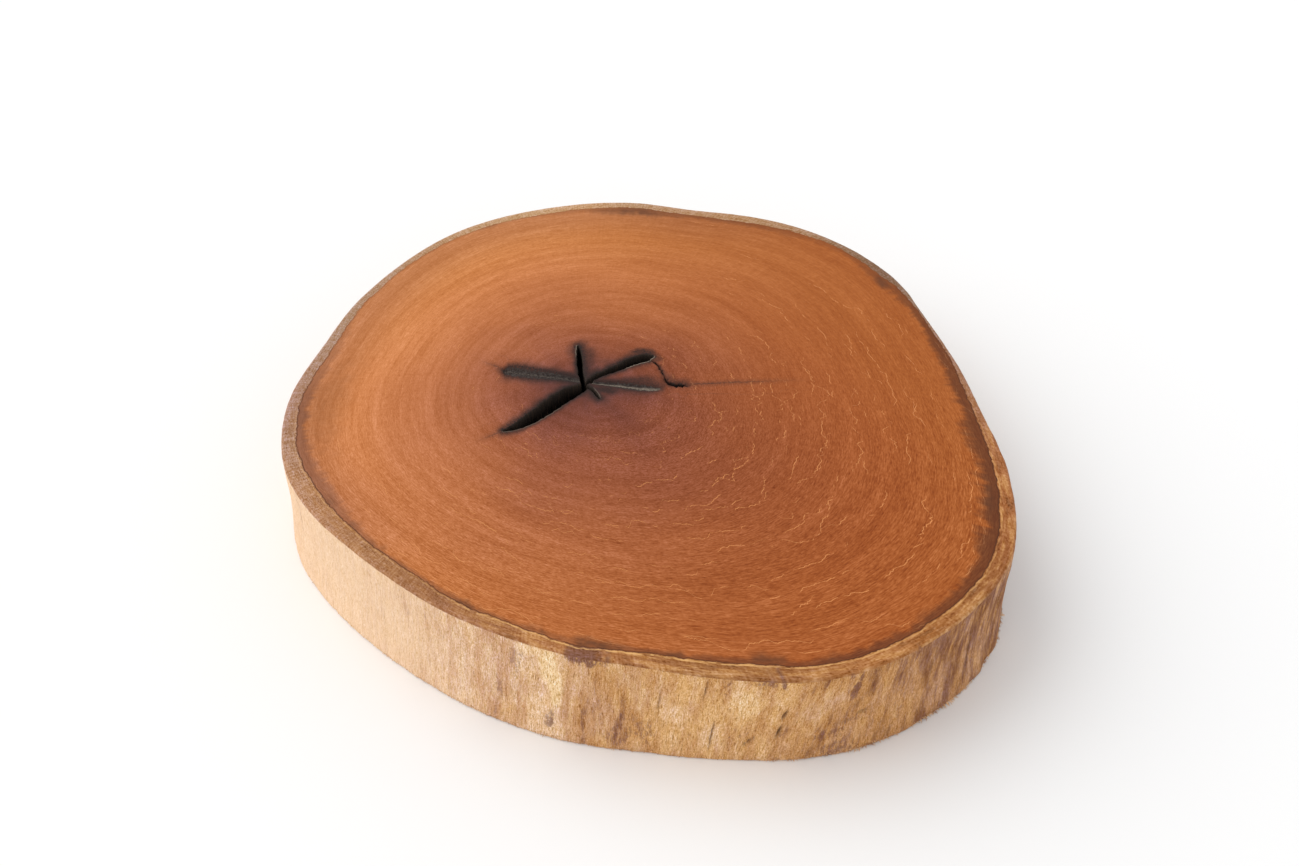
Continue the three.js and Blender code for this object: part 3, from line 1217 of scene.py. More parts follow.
def make_hairline_checks(ring_noise):
    """Hairline checks that wander along the growth rings, broken into runs and dashes."""
    tree, given, result = start_group(
        "hairline_checks",
        [
            ("Place", VECTOR, None),
            ("Spacing", FLOAT, 9.0),
            ("Wander", FLOAT, 4.0),
            ("Thickness", FLOAT, 0.3),
            ("Amount", FLOAT, 0.4),
            ("Seed", FLOAT, 0.0),
        ],
        "Mask",
    )
    place, seed = given["Place"], given["Seed"]

    def noise_of(turns, width, detail):
        inputs = {"Place": place, "Turns": turns, "Width": width, "Detail": detail}
        return placed_group(tree, ring_noise, {**inputs, "Seed": seed})

    sway = total(
        tree,
        swung(tree, noise_of(4.0, 160.0, 1.0), 2.4),
        ranged(tree, noise_of(9.0, 90.0, 1.0), 0.44, 0.56, -0.25, 0.25),
        swung(tree, noise_of(26.0, 50.0, 3.0), 0.55),
        swung(tree, noise_of(110.0, 14.0, 2.0), 0.26),
    )
    moved = total(tree, length_of(tree, place), product(tree, sway, given["Wander"]))
    turn = maths(tree, "DIVIDE", moved, given["Spacing"])
    off = maths(tree, "SUBTRACT", maths(tree, "FRACT", turn), 0.5)
    gap = product(tree, maths(tree, "ABSOLUTE", off), given["Spacing"])
    line = ranged(tree, gap, 0.0, given["Thickness"], 1.0, 0.0)
    level = product(tree, maths(tree, "FLOOR", turn), 3.7)
    own = node(tree, "CombineXYZ", {"X": seed, "Z": level})
    run = vectors(tree, "ADD", scaled(tree, direction_of(tree, place), 5.0), own)
    runs = node(tree, "TexNoise", {"Vector": run, "Scale": 1.0, "Detail": 1.0})
    missing = maths(tree, "SUBTRACT", 0.78, product(tree, given["Amount"], 0.5))
    kept = ranged(tree, runs, missing, total(tree, missing, 0.05))
    dashes = ranged(tree, noise_of(30.0, 6.0, 3.0), 0.4, 0.54)
    tree.links.new(product(tree, line, kept, dashes), result)
    return tree


RING_NOISE = make_ring_noise()
FIBRE_NOISE = make_fibre_noise()
HAIRLINES = make_hairline_checks(RING_NOISE)


def along_rings(tree, place, turns, width, seed, detail=2.0):
    inputs = {"Place": place, "Turns": turns, "Width": width, "Detail": detail, "Seed": seed}
    return placed_group(tree, RING_NOISE, inputs)


def along_fibres(tree, place, across, along, seed, detail=2.0):
    inputs = {"Place": place, "Across": across, "Along": along, "Detail": detail, "Seed": seed}
    return placed_group(tree, FIBRE_NOISE, inputs)


# ---- materials ----

DRY_WOOD_SPECULAR = 0.12


def start_material(name):
    material = bpy.data.materials.new(name)
    material.use_nodes = True
    return material, material.node_tree, material.node_tree.nodes["Principled BSDF"]


def finish_material(tree, shader, colour, roughness, height, depth):
    """Connects a material's colour, roughness and bump height. depth is the bump's in mm."""
    plug(tree, shader.inputs["Base Color"], colour)
    plug(tree, shader.inputs["Roughness"], roughness)
    shader.inputs["Specular IOR Level"].default_value = DRY_WOOD_SPECULAR
    inputs = {"Height": height, "Distance": depth * MM, "Strength": 1.0}
    tree.links.new(node(tree, "Bump", inputs), shader.inputs["Normal"])


HEARTWOOD = [  # distance from the pith in mm, then the shade
    (0, (84, 42, 36)),
    (14, (102, 50, 40)),
    (30, (122, 60, 43)),
    (50, (144, 73, 46)),
    (85, (167, 89, 50)),
    (125, (179, 98, 52)),
    (170, (184, 104, 53)),
    (210, (184, 104, 52)),
]
HEARTWOOD_REACH = 210.0
# Paler and pinker to the left: partly the wood's own colour, partly painted light and a painted
# sheen from the window. Darker to the right: partly painted shade. The rear left tint makes the
# heartwood darker near the rim at the back left.
LEFT_PALE_WOOD_AND_SHEEN_TINT = (1.26, 1.60, 1.72, 1.0)
RIGHT_DARK_WOOD_AND_SHADE_TINT = (0.75, 0.695, 0.48, 1.0)
NO_TINT = (1.0, 1.0, 1.0, 1.0)
REAR_LEFT_TINT = (0.80, 0.80, 0.98, 1.0)

HAIRLINE = paint(228, 152, 92)
LEFT_STAIN, STAIN, RIGHT_STAIN = paint(96, 62, 54), paint(74, 42, 30), paint(62, 34, 24)
SMUDGE = paint(84, 52, 34)
YELLOWED_SAPWOOD, BROWNED_SAPWOOD = paint(204, 150, 92), paint(112, 76, 48)
PURPLE_SAPWOOD = paint(112, 72, 58)
PALE_LINE, DARK_LINE = paint(222, 172, 110), paint(74, 42, 24)
SOOT = paint(44, 36, 34)
DARK_GROOVE, GREY_GROOVE, SHAKE = paint(36, 32, 30), paint(76, 69, 65), paint(12, 10, 10)
# The first colour: a pale streak along the left groove and a painted highlight along the right
# one. The second: painted highlights along the lips of the heart check.
PALE_STREAK_AND_HIGHLIGHT, LIP_HIGHLIGHT = paint(144, 132, 118), paint(150, 136, 120)


def heartwood_shade(tree, place):
    """The heartwood's colour: darkest and reddest at the pith. It is paler to the back left and
    darker to the right, partly the wood's own colour and partly painted light, a painted sheen and
    painted shade.
    """
    x, y, _ = object_place(tree)
    reach = total(
        tree,
        length_of(tree, place),
        swung(tree, along_rings(tree, place, 1.2, 60.0, 3.0), 46.0),
        product(tree, maths(tree, "SUBTRACT", y, PITH[1]), 0.2),
        product(tree, maths(tree, "SUBTRACT", x, PITH[0]), 0.08),
    )
    ramp = tree.nodes.new("ShaderNodeValToRGB")
    stops = ramp.color_ramp.elements
    while len(stops) < len(HEARTWOOD):
        stops.new(0.5)
    for stop, (distance, shades) in zip(stops, HEARTWOOD):
        stop.position = distance / HEARTWOOD_REACH
        stop.color = paint(*shades)
    tree.links.new(maths(tree, "DIVIDE", reach, HEARTWOOD_REACH), ramp.inputs[0])
    # painted light and sheen to the left and painted shade to the right, together with the wood's
    # own change of colour
    leftward = ranged(tree, slanted(tree, x, y, -0.98, 0.2), -125.0, 160.0)
    tint = mixed(tree, leftward, RIGHT_DARK_WOOD_AND_SHADE_TINT, LEFT_PALE_WOOD_AND_SHEEN_TINT)
    shade = vectors(tree, "MULTIPLY", ramp.outputs["Color"], tint)
    near_rim = ranged(tree, attribute(tree, "rim_gap"), 8.0, 40.0, 1.0, 0.0)
    rear_left = ranged(tree, slanted(tree, x, y, -0.8, 0.6), -10.0, 90.0)
    tint = mixed(tree, product(tree, near_rim, rear_left), NO_TINT, REAR_LEFT_TINT)
    return vectors(tree, "MULTIPLY", shade, tint)


def ring_figure(tree, place, streaks, marks):
    """The growth rings' dark and pale: bands, streaks, pores and rays, as one factor."""
    x, y, _ = object_place(tree)
    radius = length_of(tree, place)
    bands = along_rings(tree, place, 0.9, 4.6, 11.0, 3.0)
    broad = along_rings(tree, place, 1.4, 13.0, 16.0, 1.0)
    pores = along_rings(tree, place, 95.0, 0.36, 15.0, 2.0)
    rays = along_rings(tree, place, 120.0, 9.0, 14.0, 1.0)
    coarse = product(
        tree,
        ranged(tree, slanted(tree, x, y, 0.3, -0.95), -60.0, 120.0, 0.72, 1.55),
        ranged(tree, radius, 20.0, 90.0, 1.7, 1.0),
    )
    return product(
        tree,
        about_one(tree, bands, ranged(tree, radius, 25.0, 110.0, 0.95, 0.6)),
        about_one(tree, streaks, 0.45),
        about_one(tree, marks, coarse),
        about_one(tree, pores, coarse),
        about_one(tree, rays, 0.24),
        about_one(tree, broad, 0.4),
    )


def hairlines(tree, place):
    """Where the hairline checks are: most at the front right, and none at the pith."""
    x, y, _ = object_place(tree)
    amount = ranged(tree, slanted(tree, x, y, 0.6, -0.8), -150.0, 70.0, 0.14, 0.56)
    found = 0.0
    for spacing, wander, seed in ((9.0, 5.0, 21.0), (14.0, 8.0, 35.0)):
        inputs = {"Place": place, "Spacing": spacing, "Wander": wander, "Thickness": 0.23}
        mask = placed_group(tree, HAIRLINES, {**inputs, "Amount": amount, "Seed": seed})
        found = maths(tree, "MAXIMUM", mask, found)
    return product(tree, found, ranged(tree, length_of(tree, place), 20.0, 60.0))


def with_dark_band(tree, heart, place, ragged):
    """Heartwood with the dark band just inside its edge, whose streaks reach inward, and the
    smudges there."""
    x, _, _ = object_place(tree)
    uneven = swung(tree, along_rings(tree, place, 7.0, 12.0, 42.0, 2.0), 1.0)
    wander = about_one(tree, total(tree, ragged, uneven, 0.5), 1.6)
    spread = product(tree, attribute(tree, "stain_width"), wander)
    near, far = product(tree, spread, 0.45), product(tree, spread, 1.35)
    band = ranged(tree, attribute(tree, "heart_gap"), near, far, 1.0, 0.0)
    shade = mixed(tree, ranged(tree, x, -140.0, -60.0), LEFT_STAIN, STAIN)
    shade = mixed(tree, ranged(tree, x, 60.0, 150.0), shade, RIGHT_STAIN)
    heart = mixed(tree, product(tree, band, attribute(tree, "stain")), heart, shade)
    broken = about_one(tree, along_rings(tree, place, 50.0, 2.0, 43.0, 3.0), 1.2)
    return mixed(tree, product(tree, attribute(tree, "smudge"), broken), heart, SMUDGE)


def sapwood_ring(tree, place, ragged, streaks):
    """The sapwood's colour: specked, patchy at the front, with a pale line by the heart."""
    x, y, _ = object_place(tree)
    bands = along_rings(tree, place, 3.0, 2.2, 52.0, 2.0)
    specks = along_rings(tree, place, 150.0, 0.7, 53.0, 2.0)
    cuts = along_rings(tree, place, 170.0, 8.0, 54.0, 1.0)
    patches = along_rings(tree, place, 14.0, 3.0, 55.0, 3.0)
    front = ranged(tree, y, 40.0, -60.0)
    patchy = product(tree, front, ranged(tree, x, -105.0, -35.0, 0.3, 1.0))
    yellowed = product(tree, ranged(tree, patches, 0.46, 0.64), patchy, 0.55)
    browned = product(tree, ranged(tree, patches, 0.3, 0.46, 1.0, 0.0), patchy, 0.5)
    purple = total(tree, attribute(tree, "purple"), swung(tree, patches, 1.0))
    wood = mixed(tree, yellowed, attribute(tree, "sapwood_shade", "Vector"), YELLOWED_SAPWOOD)
    wood = mixed(tree, browned, wood, BROWNED_SAPWOOD)
    wood = mixed(tree, ranged(tree, purple, 0.2, 0.9, 0.0, 0.85), wood, PURPLE_SAPWOOD)
    figure = product(
        tree,
        about_one(tree, streaks, 1.3),
        about_one(tree, bands, 0.55),
        about_one(tree, specks, 1.4),
        about_one(tree, cuts, 0.9),
        ranged(tree, attribute(tree, "rim_gap"), 0.5, 5.0, 1.08, 0.96),
        ranged(tree, total(tree, specks, swung(tree, patches, 0.5)), 0.24, 0.4, 0.55, 1.0),
    )
    off = total(tree, attribute(tree, "heart_gap"), total(tree, 0.8, product(tree, ragged, 1.2)))
    pale_line = product(
        tree,
        line_at(tree, off, 0.2, 0.6),
        front,
        ranged(tree, x, -110.0, -40.0, 0.35, 1.0),
        ranged(tree, x, 60.0, 140.0, 1.0, 0.45),
        ranged(tree, streaks, 0.42, 0.56, 0.1, 0.85),
    )
    return mixed(tree, pale_line, toned(tree, wood, figure), PALE_LINE)


def with_faint_lines(tree, sooty, fine, streaks):
    """Soot, or the thin dark lines that go on past the checks where those are darker."""
    off = total(tree, attribute(tree, "faint_gap"), product(tree, streaks, 2.4))
    off = maths(tree, "ABSOLUTE", maths(tree, "SUBTRACT", off, 1.2))
    core, halo = ranged(tree, off, 0.1, 0.7, 0.32, 0.0), ranged(tree, off, 0.5, 3.6, 0.3, 0.0)
    faint = product(tree, total(tree, core, halo), attribute(tree, "faint"))
    return maths(tree, "MAXIMUM", sooty, product(tree, faint, about_one(tree, fine, 1.8)))


def with_grooves(tree, wood, fine):
    """Wood with the grey floors of the grooves, the pale line along each of them (a streak on the
    left groove, a painted highlight on the right one), the black ring shake, and painted
    highlights along the lips of the heart check."""
    x, _, _ = object_place(tree)
    floor = ranged(tree, total(tree, attribute(tree, "groove"), swung(tree, fine, 1.0)), 0.2, 0.95)
    grey = mixed(tree, ranged(tree, fine, 0.38, 0.68), DARK_GROOVE, GREY_GROOVE)
    grey = mixed(tree, line_at(tree, attribute(tree, "ring_shake"), 1.0, 2.5), grey, SHAKE)
    wood = mixed(tree, product(tree, floor, 0.85), wood, grey)

    wobble = swung(tree, fine, 1.6)
    # A pale line along each groove: on the left groove a streak in its floor, on the right groove
    # a painted highlight of its lit near lip.
    wedge = ranged(tree, x, -24.0, 4.0, 0.2, 0.95)
    streak_and_highlight = 0.0
    for name, width, strength in (("left_groove", 0.2, 0.22), ("right_groove", wedge, 0.7)):
        off = total(tree, attribute(tree, name), wobble)
        line = line_at(tree, off, product(tree, width, 0.4), total(tree, width, 0.3))
        streak_and_highlight = maths(tree, "MAXIMUM", product(tree, line, strength), streak_and_highlight)
    streak_and_highlight = product(tree, streak_and_highlight, floor, ranged(tree, fine, 0.35, 0.6, 0.45, 1.0))
    wood = mixed(tree, streak_and_highlight, wood, PALE_STREAK_AND_HIGHLIGHT)

    # painted highlights along the lit lips of the heart check
    off = total(tree, attribute(tree, "check_gap"), product(tree, wobble, 0.4))
    lip = product(
        tree,
        ranged(tree, off, 0.25, 0.75, 1.0, 0.0),
        attribute(tree, "lip_highlight"),
        ranged(tree, fine, 0.35, 0.6, 0.35, 1.0),
    )
    return mixed(tree, lip, wood, LIP_HIGHLIGHT)


def sanded_end_grain():
    """The top face: heartwood, a ring of sapwood, hairline checks and sooty grooves."""
    material, tree, shader = start_material("sanded_end_grain")
    place = attribute(tree, "ring_place", "Vector")
    _, y, _ = object_place(tree)
    streaks = along_rings(tree, place, 9.0, 1.5, 12.0, 2.0)
    marks = along_rings(tree, place, 34.0, 0.45, 13.0, 1.0)
    figure = ring_figure(tree, place, streaks, marks)
    heart = toned(tree, heartwood_shade(tree, place), figure)
    hairs = hairlines(tree, place)
    heart = mixed(tree, product(tree, hairs, 0.9), heart, HAIRLINE)
    ragged = swung(tree, along_rings(tree, place, 60.0, 16.0, 41.0, 4.0), 1.0)
    heart = with_dark_band(tree, heart, place, ragged)

    sap_streaks = along_rings(tree, place, 46.0, 0.6, 51.0, 2.0)
    sapwood = sapwood_ring(tree, place, ragged, sap_streaks)
    edge = total(tree, attribute(tree, "heart_gap"), product(tree, ragged, 2.2))
    wood = mixed(tree, ranged(tree, edge, -0.2, 0.15), sapwood, heart)
    dark_line = product(
        tree,
        line_at(tree, maths(tree, "SUBTRACT", edge, 0.3), 0.1, 0.5),
        ranged(tree, y, 150.0, -40.0, 0.25, 0.75),
        ranged(tree, sap_streaks, 0.3, 0.5, 0.35, 1.0),
    )
    wood = mixed(tree, dark_line, wood, DARK_LINE)

    fine = along_rings(tree, place, 30.0, 0.9, 61.0, 3.0)
    sooty = product(tree, attribute(tree, "soot"), about_one(tree, fine, 0.9))
    wood = mixed(tree, with_faint_lines(tree, sooty, fine, streaks), wood, SOOT)
    wood = with_grooves(tree, wood, fine)
    gloss = total(tree, 0.46, product(tree, sooty, 0.4))
    height = total(tree, product(tree, marks, 0.35), product(tree, streaks, 0.3))
    height = total(tree, height, product(tree, hairs, -0.6))
    finish_material(tree, shader, wood, gloss, height, 0.12)
    return material


PALE_WALL, PALE_OCHRE_WALL = paint(246, 211, 175), paint(232, 184, 126)
TAN_WALL, TAN_OCHRE_WALL = paint(210, 162, 124), paint(205, 151, 96)
BROWN_WALL, BROWN_OCHRE_WALL = paint(150, 106, 84), paint(134, 84, 50)
CREAM_WALL, PURPLE_WALL = paint(246, 210, 158), paint(122, 78, 64)
FLECK, GOUGE = paint(134, 86, 64), paint(84, 52, 34)


def weathered_and_shaded_wood(tree, grain, broad, ribbons, threads):
    """The wall's pale, tan and brown wood, each from peach to ochre, and its cream patches. Its
    brown is partly weathering and partly painted shade on the side away from the window.
    """
    mottled = attribute(tree, "mottled")
    hues = swung(tree, along_fibres(tree, grain, 11.0, 26.0, 6.0, 2.0), 2.2)
    ochre = total(tree, attribute(tree, "ochre"), product(tree, hues, mottled))
    drift = total(
        tree, swung(tree, broad, 1.5), swung(tree, ribbons, 1.3), swung(tree, threads, 0.5)
    )
    # weathering, and painted shade on the side away from the window
    weather_and_shade = total(
        tree,
        attribute(tree, "brown"),
        product(tree, drift, mottled),
        product(tree, attribute(tree, "cream"), -0.7),
    )
    pale = mixed(tree, ochre, PALE_WALL, PALE_OCHRE_WALL)
    tan = mixed(tree, ochre, TAN_WALL, TAN_OCHRE_WALL)
    brown = mixed(tree, ochre, BROWN_WALL, BROWN_OCHRE_WALL)
    wood = mixed(tree, ranged(tree, weather_and_shade, -0.1, 0.55), pale, tan)
    wood = mixed(tree, ranged(tree, weather_and_shade, 0.45, 1.15), wood, brown)
    cream = total(tree, attribute(tree, "cream"), swung(tree, ribbons, 1.6))
    cream = product(tree, ranged(tree, cream, 0.1, 0.8), attribute(tree, "cream"))
    return mixed(tree, cream, wood, CREAM_WALL)


def with_purple(tree, wood, grain, broad, ribbons, threads):
    """The wall's wood with purple patches, strays of the same, and dark flecks."""
    mottled = attribute(tree, "mottled")
    blotches = along_fibres(tree, grain, 1.6, 3.4, 5.0, 3.0)
    broken = total(
        tree,
        attribute(tree, "purple"),
        swung(tree, ribbons, 1.6),
        swung(tree, blotches, 2.6),
        swung(tree, threads, 1.2),
    )
    stray = total(tree, swung(tree, blotches, 2.0), swung(tree, broad, 3.0))
    stray = product(tree, ranged(tree, stray, 0.45, 0.9, 0.0, 0.55), mottled)
    patches = product(tree, ranged(tree, broken, 0.3, 0.8), attribute(tree, "purple"))
    wood = mixed(tree, maths(tree, "MAXIMUM", patches, stray), wood, PURPLE_WALL)
    flecks = product(
        tree,
        ranged(tree, threads, 0.28, 0.42, 1.0, 0.0),
        ranged(tree, mottled, 0.15, 1.0, 0.08, 0.4),
    )
    return mixed(tree, flecks, wood, FLECK)


def debarked_side():
    """The wall: pale, fibrous sapwood, weathered brown and purple in patches, and browner as
    painted shade on the side away from the window. The sanded rim's colour comes down over its top
    edge, unevenly."""
    material, tree, shader = start_material("debarked_side")
    grain = attribute(tree, "grain_place", "Vector")
    _, _, z = object_place(tree)
    broad = along_fibres(tree, grain, 7.0, 34.0, 1.0, 3.0)
    ribbons = along_fibres(tree, grain, 2.2, 13.0, 2.0, 4.0)
    threads = along_fibres(tree, grain, 0.5, 4.0, 3.0, 2.0)
    specks = along_fibres(tree, grain, 0.5, 1.1, 4.0, 2.0)
    mottled = attribute(tree, "mottled")
    furry = ranged(tree, mottled, 0.2, 1.0, 0.8, 1.9)
    wood = weathered_and_shaded_wood(tree, grain, broad, ribbons, threads)
    wood = with_purple(tree, wood, grain, broad, ribbons, threads)
    figure = product(
        tree,
        about_one(tree, threads, product(tree, furry, 0.9)),
        about_one(tree, specks, product(tree, furry, 0.95)),
        about_one(tree, ribbons, product(tree, mottled, 0.5)),
    )
    wood = toned(tree, wood, figure)
    gouge = product(tree, attribute(tree, "gouge"), ranged(tree, threads, 0.35, 0.6, 0.5, 1.0))
    wood = mixed(tree, gouge, wood, GOUGE)

    lower = total(tree, THICKNESS - RIM_ROUNDING + 0.1, swung(tree, ribbons, 3.0))
    rim = ranged(tree, z, maths(tree, "SUBTRACT", lower, 0.6), total(tree, lower, 0.6))
    rim = product(tree, rim, ranged(tree, threads, 0.35, 0.6, 0.4, 1.0))
    rim_shade = attribute(tree, "sapwood_shade", "Vector")
    rim_shade = toned(tree, rim_shade, about_one(tree, threads, 1.0))
    wood = mixed(tree, rim, wood, rim_shade)
    height = total(
        tree,
        product(tree, threads, 0.5),
        product(tree, ribbons, 0.9),
        product(tree, specks, 0.3),
    )
    finish_material(tree, shader, wood, 0.82, height, 0.9)
    return material


def sooty_shaded_check_walls():
    """The inside of the heart check: charred fibres, painted blacker further down as shade in the
    narrow crack.
    """
    material, tree, shader = start_material("sooty_shaded_check_walls")
    _, _, z = object_place(tree)
    threads = along_fibres(tree, object_vector(tree), 0.8, 9.0, 5.0, 2.0)
    # painted shade: the walls go blacker further down the crack
    deep_shade = ranged(tree, z, THICKNESS - 9.0, THICKNESS - 0.5, 1.0, 0.0)
    wood = mixed(tree, deep_shade, paint(52, 44, 39), paint(16, 13, 12))
    wood = mixed(tree, ranged(tree, threads, 0.45, 0.75, 0.0, 0.5), wood, paint(78, 60, 47))
    finish_material(tree, shader, wood, 0.85, threads, 0.5)
    return material


SAW_STEP = 2.6  # from one stroke of the saw to the next


def sawn_underside():
    """The underside: the same rings, sawn and left rough."""
    material, tree, shader = start_material("sawn_underside")
    place = attribute(tree, "ring_place", "Vector")
    _, y, _ = object_place(tree)
    bands = along_rings(tree, place, 0.9, 4.6, 11.0, 3.0)
    marks = along_rings(tree, place, 34.0, 0.7, 13.0, 1.0)
    figure = product(tree, about_one(tree, bands, 0.6), about_one(tree, marks, 0.4))
    heart = scaled(tree, heartwood_shade(tree, place), figure)
    sapwood = scaled(tree, attribute(tree, "sapwood_shade", "Vector"), figure)
    wood = mixed(tree, ranged(tree, attribute(tree, "heart_gap"), -0.4, 0.4), sapwood, heart)
    wood = mixed(tree, 0.22, wood, paint(196, 158, 122))
    slip = along_rings(tree, place, 2.0, 30.0, 71.0, 1.0)
    stroke = total(tree, product(tree, y, 0.95), product(tree, slip, 3.0))
    saw = maths(tree, "SINE", product(tree, stroke, 2.0 * math.pi / SAW_STEP))
    height = total(tree, product(tree, saw, 0.2), marks)
    finish_material(tree, shader, wood, 0.85, height, 0.25)
    return material


def torn_fibre():
    """The loose fibres at the sawn lower edge."""
    material, tree, shader = start_material("torn_fibre")
    patches = along_fibres(tree, object_vector(tree), 3.0, 3.0, 8.0, 1.0)
    shade = ranged(tree, patches, 0.35, 0.65)
    wood = mixed(tree, shade, paint(236, 196, 150), paint(178, 132, 98))
    finish_material(tree, shader, wood, 0.85, patches, 0.05)
    return material


# ---- torn fibres along the lower edge ----

FIBRE_SIZES = (
    ("Fibres", INTEGER, 3000),
    ("Longest", FLOAT, 0.0032),
    ("Thickness", FLOAT, 0.00024),
    ("Seed", INTEGER, 4),
)
FIBRE_ROOM = 0.0001  # how far the fibres stay inside the CAD solid's box
FLOOR_ROOM = 0.00002  # how far they stay off the floor

# How long and how many the fibres are, by degrees round the slab.
RAGGEDNESS = [(0, 0.6), (60, 0.4), (180, 0.25), (235, 0.35), (290, 0.45), (318, 0.9), (340, 1.0)]


def torn_edge_tree(material):
    """Nodes that set torn fibres along a line of points, outward and slightly down. Returns
    the tree, and the identifiers of its sizes by name."""
    tree = bpy.data.node_groups.new("torn_edge", "GeometryNodeTree")
    sockets = {}
    tree.interface.new_socket("Edge", in_out="INPUT", socket_type="NodeSocketGeometry")
    for title, kind, value in FIBRE_SIZES:
        socket = tree.interface.new_socket(title, in_out="INPUT", socket_type=kind)
        socket.default_value = value
        sockets[title] = socket.identifier
    tree.interface.new_socket("Fibres", in_out="OUTPUT", socket_type="NodeSocketGeometry")
    given = tree.nodes.new("NodeGroupInput").outputs

    def own(name, kind):
        """An attribute of the line of points."""
        inputs = {"Name": name}
        return add_node(tree, "GeometryNodeInputNamedAttribute", inputs, data_type=kind)

    def chance(low, high, salt):
        """A random number, or vector, for each fibre. salt sets it apart from the others."""
        is_vector = isinstance(low, tuple)
        kind, output, first = ("FLOAT_VECTOR", 0, 0) if is_vector else ("FLOAT", 1, 2)
        seed = maths(tree, "ADD", given["Seed"], float(salt))
        inputs = {"Seed": seed, first: low, first + 1: high}
        return add_node(tree, "FunctionNodeRandomValue", inputs, output, data_type=kind)

    def shape(kind, inputs, **settings):
        return add_node(tree, "GeometryNode" + kind, inputs, **settings)

    ragged = own("ragged", "FLOAT")
    line = shape("MeshToCurve", {0: given["Edge"]})
    points = shape("CurveToPoints", {"Curve": line, "Count": given["Fibres"]}, mode="COUNT")
    inputs = {0: chance(0.0, 1.0, 1), 1: total(tree, ragged, 0.35)}
    bald = add_node(
        tree, "FunctionNodeCompare", inputs, data_type="FLOAT", operation="GREATER_THAN"
    )
    points = shape("DeleteGeometry", {"Geometry": points, "Selection": bald}, domain="POINT")
    rise = chance((-0.0004, -0.0004, 0.0002), (0.0002, 0.0002, 0.0022), 2)
    points = shape("SetPosition", {"Geometry": points, "Offset": rise})
    stray = chance((-0.75, -0.75, -0.9), (0.75, 0.75, 0.05), 3)
    aim = vectors(tree, "ADD", own("outward", "FLOAT_VECTOR"), stray)
    turned = add_node(tree, "FunctionNodeAlignRotationToVector", {"Vector": aim}, axis="Z")
    inputs = {"Vertices": 4, "Radius Top": 0.25, "Radius Bottom": 1.0, "Depth": 1.0}
    cone = shape("MeshCone", inputs)
    reach = product(tree, chance(0.25, 1.0, 4), given["Longest"], ragged)
    width = product(tree, chance(0.6, 1.3, 5), given["Thickness"])
    size = node(tree, "CombineXYZ", {"X": width, "Y": width, "Z": reach})
    inputs = {"Points": points, "Instance": cone, "Rotation": turned, "Scale": size}
    fibres = shape("RealizeInstances", {"Geometry": shape("InstanceOnPoints", inputs)})
    x, y = (SLAB_HIGH[axis] * MM - FIBRE_ROOM for axis in (0, 1))
    here = add_node(tree, "GeometryNodeInputPosition")
    here = vectors(tree, "MAXIMUM", here, (-x, -y, FLOOR_ROOM))
    here = vectors(tree, "MINIMUM", here, (x, y, THICKNESS * MM))
    fibres = shape("SetPosition", {"Geometry": fibres, "Position": here})
    fibres = shape("SetMaterial", {"Geometry": fibres, "Material": material})
    tree.links.new(fibres, tree.nodes.new("NodeGroupOutput").inputs[0])
    return tree, sockets


def make_torn_fibres(material):
    """The torn fibres, as a plain mesh object."""
    radii = radii_at(0.0) - 0.4
    points = with_height(OUTWARD * radii[:, None], 0.5)
    count = len(points)
    mesh = bpy.data.meshes.new("lower_edge")
    mesh.from_pydata((points * MM).tolist(), [(i, (i + 1) % count) for i in range(count)], [])
    ragged = mesh.attributes.new("ragged", "FLOAT", "POINT")
    patchy = 0.75 + 0.5 * noise(points, 9.0, 91)
    values = between_rows(RAGGEDNESS, turn_of(points), 1) * patchy
    ragged.data.foreach_set("value", np.clip(values, 0.15, 1.4).astype(np.float32))
    outward = mesh.attributes.new("outward", "FLOAT_VECTOR", "POINT")
    outward.data.foreach_set("vector", with_height(OUTWARD, 0.0).astype(np.float32).ravel())
    edge = bpy.data.objects.new("lower_edge", mesh)
    bpy.context.scene.collection.objects.link(edge)
    tree, sockets = torn_edge_tree(material)
    growth = edge.modifiers.new("torn_edge", "NODES")
    growth.node_group = tree
    for title, _, value in FIBRE_SIZES:
        growth[sockets[title]] = value
    bpy.context.view_layer.update()
    grown = edge.evaluated_get(bpy.context.evaluated_depsgraph_get())
    fibres = bpy.data.meshes.new_from_object(grown)
    bpy.data.objects.remove(edge)
    torn = bpy.data.objects.new("torn_fibres", fibres)
    bpy.context.scene.collection.objects.link(torn)
    return torn


def joined(first, second):
    """Makes the second mesh object part of the first."""
    bpy.context.view_layer.objects.active = first
    with bpy.context.temp_override(
        active_object=first, object=first, selected_editable_objects=[first, second]
    ):
        bpy.ops.object.join()
    return first


# ---- the slab, on its body ----

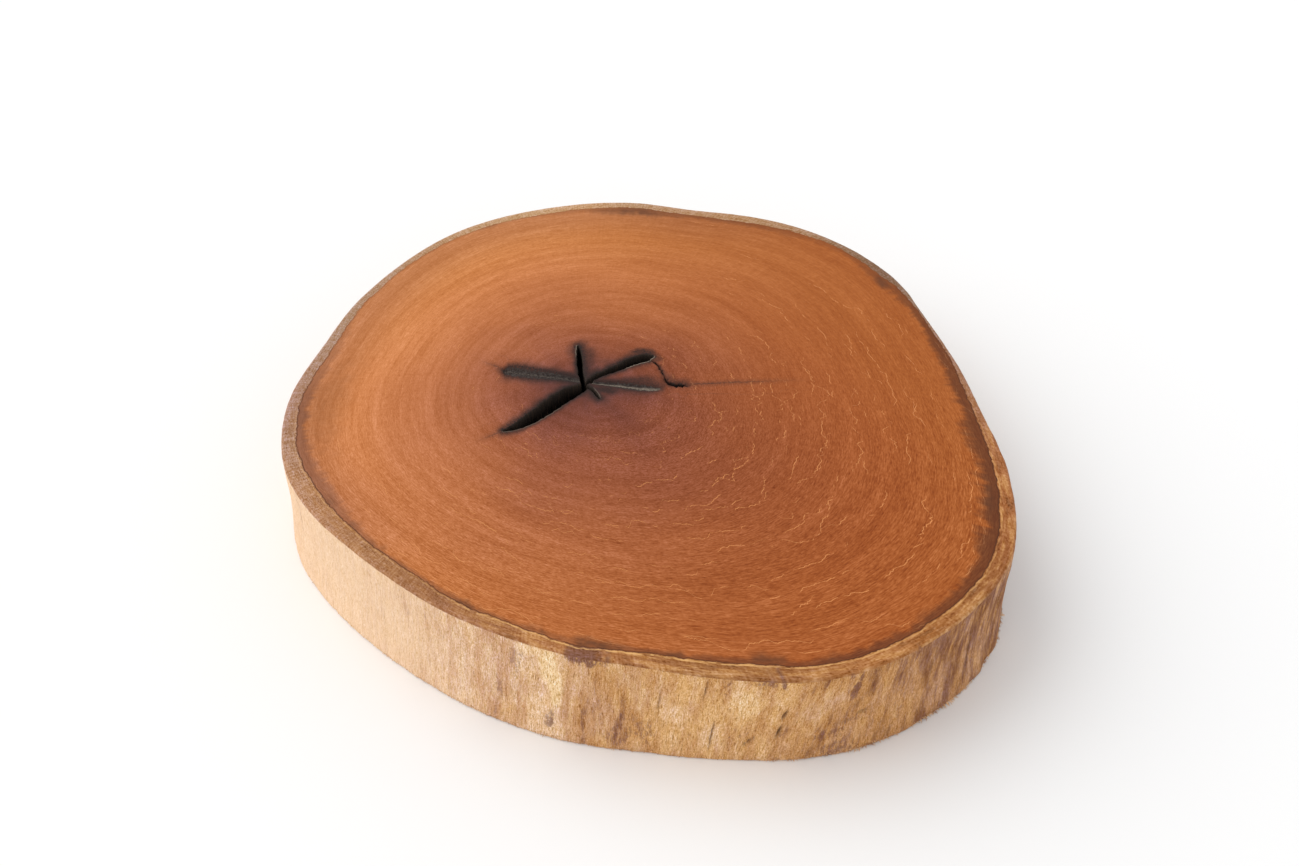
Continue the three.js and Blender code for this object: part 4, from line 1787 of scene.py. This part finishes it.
finishes = [sanded_end_grain(), debarked_side(), sooty_shaded_check_walls(), sawn_underside()]
slab = make_slab(finishes)
slab = joined(slab, make_torn_fibres(torn_fibre()))
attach(slab, BODY)
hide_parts(NODE)

# ---- camera, light and floor ----

CAMERA_PLACE = (0.0049, -0.6962, 0.6685)
CAMERA_ELEVATION = 42.0
CAMERA_LENS = 50.15
SENSOR_WIDTH = 36.0

SKY_STRENGTH = 0.82
WINDOW_ENERGY = 1.5
WINDOW_SPREAD = 70.0  # degrees across, for soft shadows
WINDOW_TILT = (-14.0, -48.0, 0.0)

FLOOR_REACH = 60.0  # metres, past what any view takes in


def place_camera():
    camera = bpy.data.objects.new("camera", bpy.data.cameras.new("camera"))
    camera.data.lens = CAMERA_LENS
    camera.data.sensor_width = SENSOR_WIDTH
    camera.location = CAMERA_PLACE
    camera.rotation_euler = (math.radians(90.0 - CAMERA_ELEVATION), 0.0, 0.0)
    bpy.context.scene.collection.objects.link(camera)
    bpy.context.scene.camera = camera


def light_studio():
    world = bpy.data.worlds.new("studio")
    world.use_nodes = True
    sky = world.node_tree.nodes["Background"].inputs
    sky["Color"].default_value = (1, 1, 1, 1)
    sky["Strength"].default_value = SKY_STRENGTH
    bpy.context.scene.world = world
    lamp = bpy.data.lights.new("window", "SUN")
    lamp.angle = math.radians(WINDOW_SPREAD)
    lamp.energy = WINDOW_ENERGY
    window = bpy.data.objects.new("window", lamp)
    window.rotation_euler = [math.radians(degrees) for degrees in WINDOW_TILT]
    bpy.context.scene.collection.objects.link(window)
    bpy.context.scene.view_settings.view_transform = "Standard"


def lay_floor():
    mesh = bpy.data.meshes.new("floor")
    low, high = -FLOOR_REACH, FLOOR_REACH
    corners = [(low, low, 0), (high, low, 0), (high, high, 0), (low, high, 0)]
    mesh.from_pydata(corners, [], [(0, 1, 2, 3)])
    floor = bpy.data.objects.new("floor", mesh)
    white, _, shader = start_material("white_paper")
    shader.inputs["Base Color"].default_value = (0.9, 0.9, 0.9, 1)
    shader.inputs["Roughness"].default_value = 1.0
    mesh.materials.append(white)
    bpy.context.scene.collection.objects.link(floor)


place_camera()
light_studio()
lay_floor()
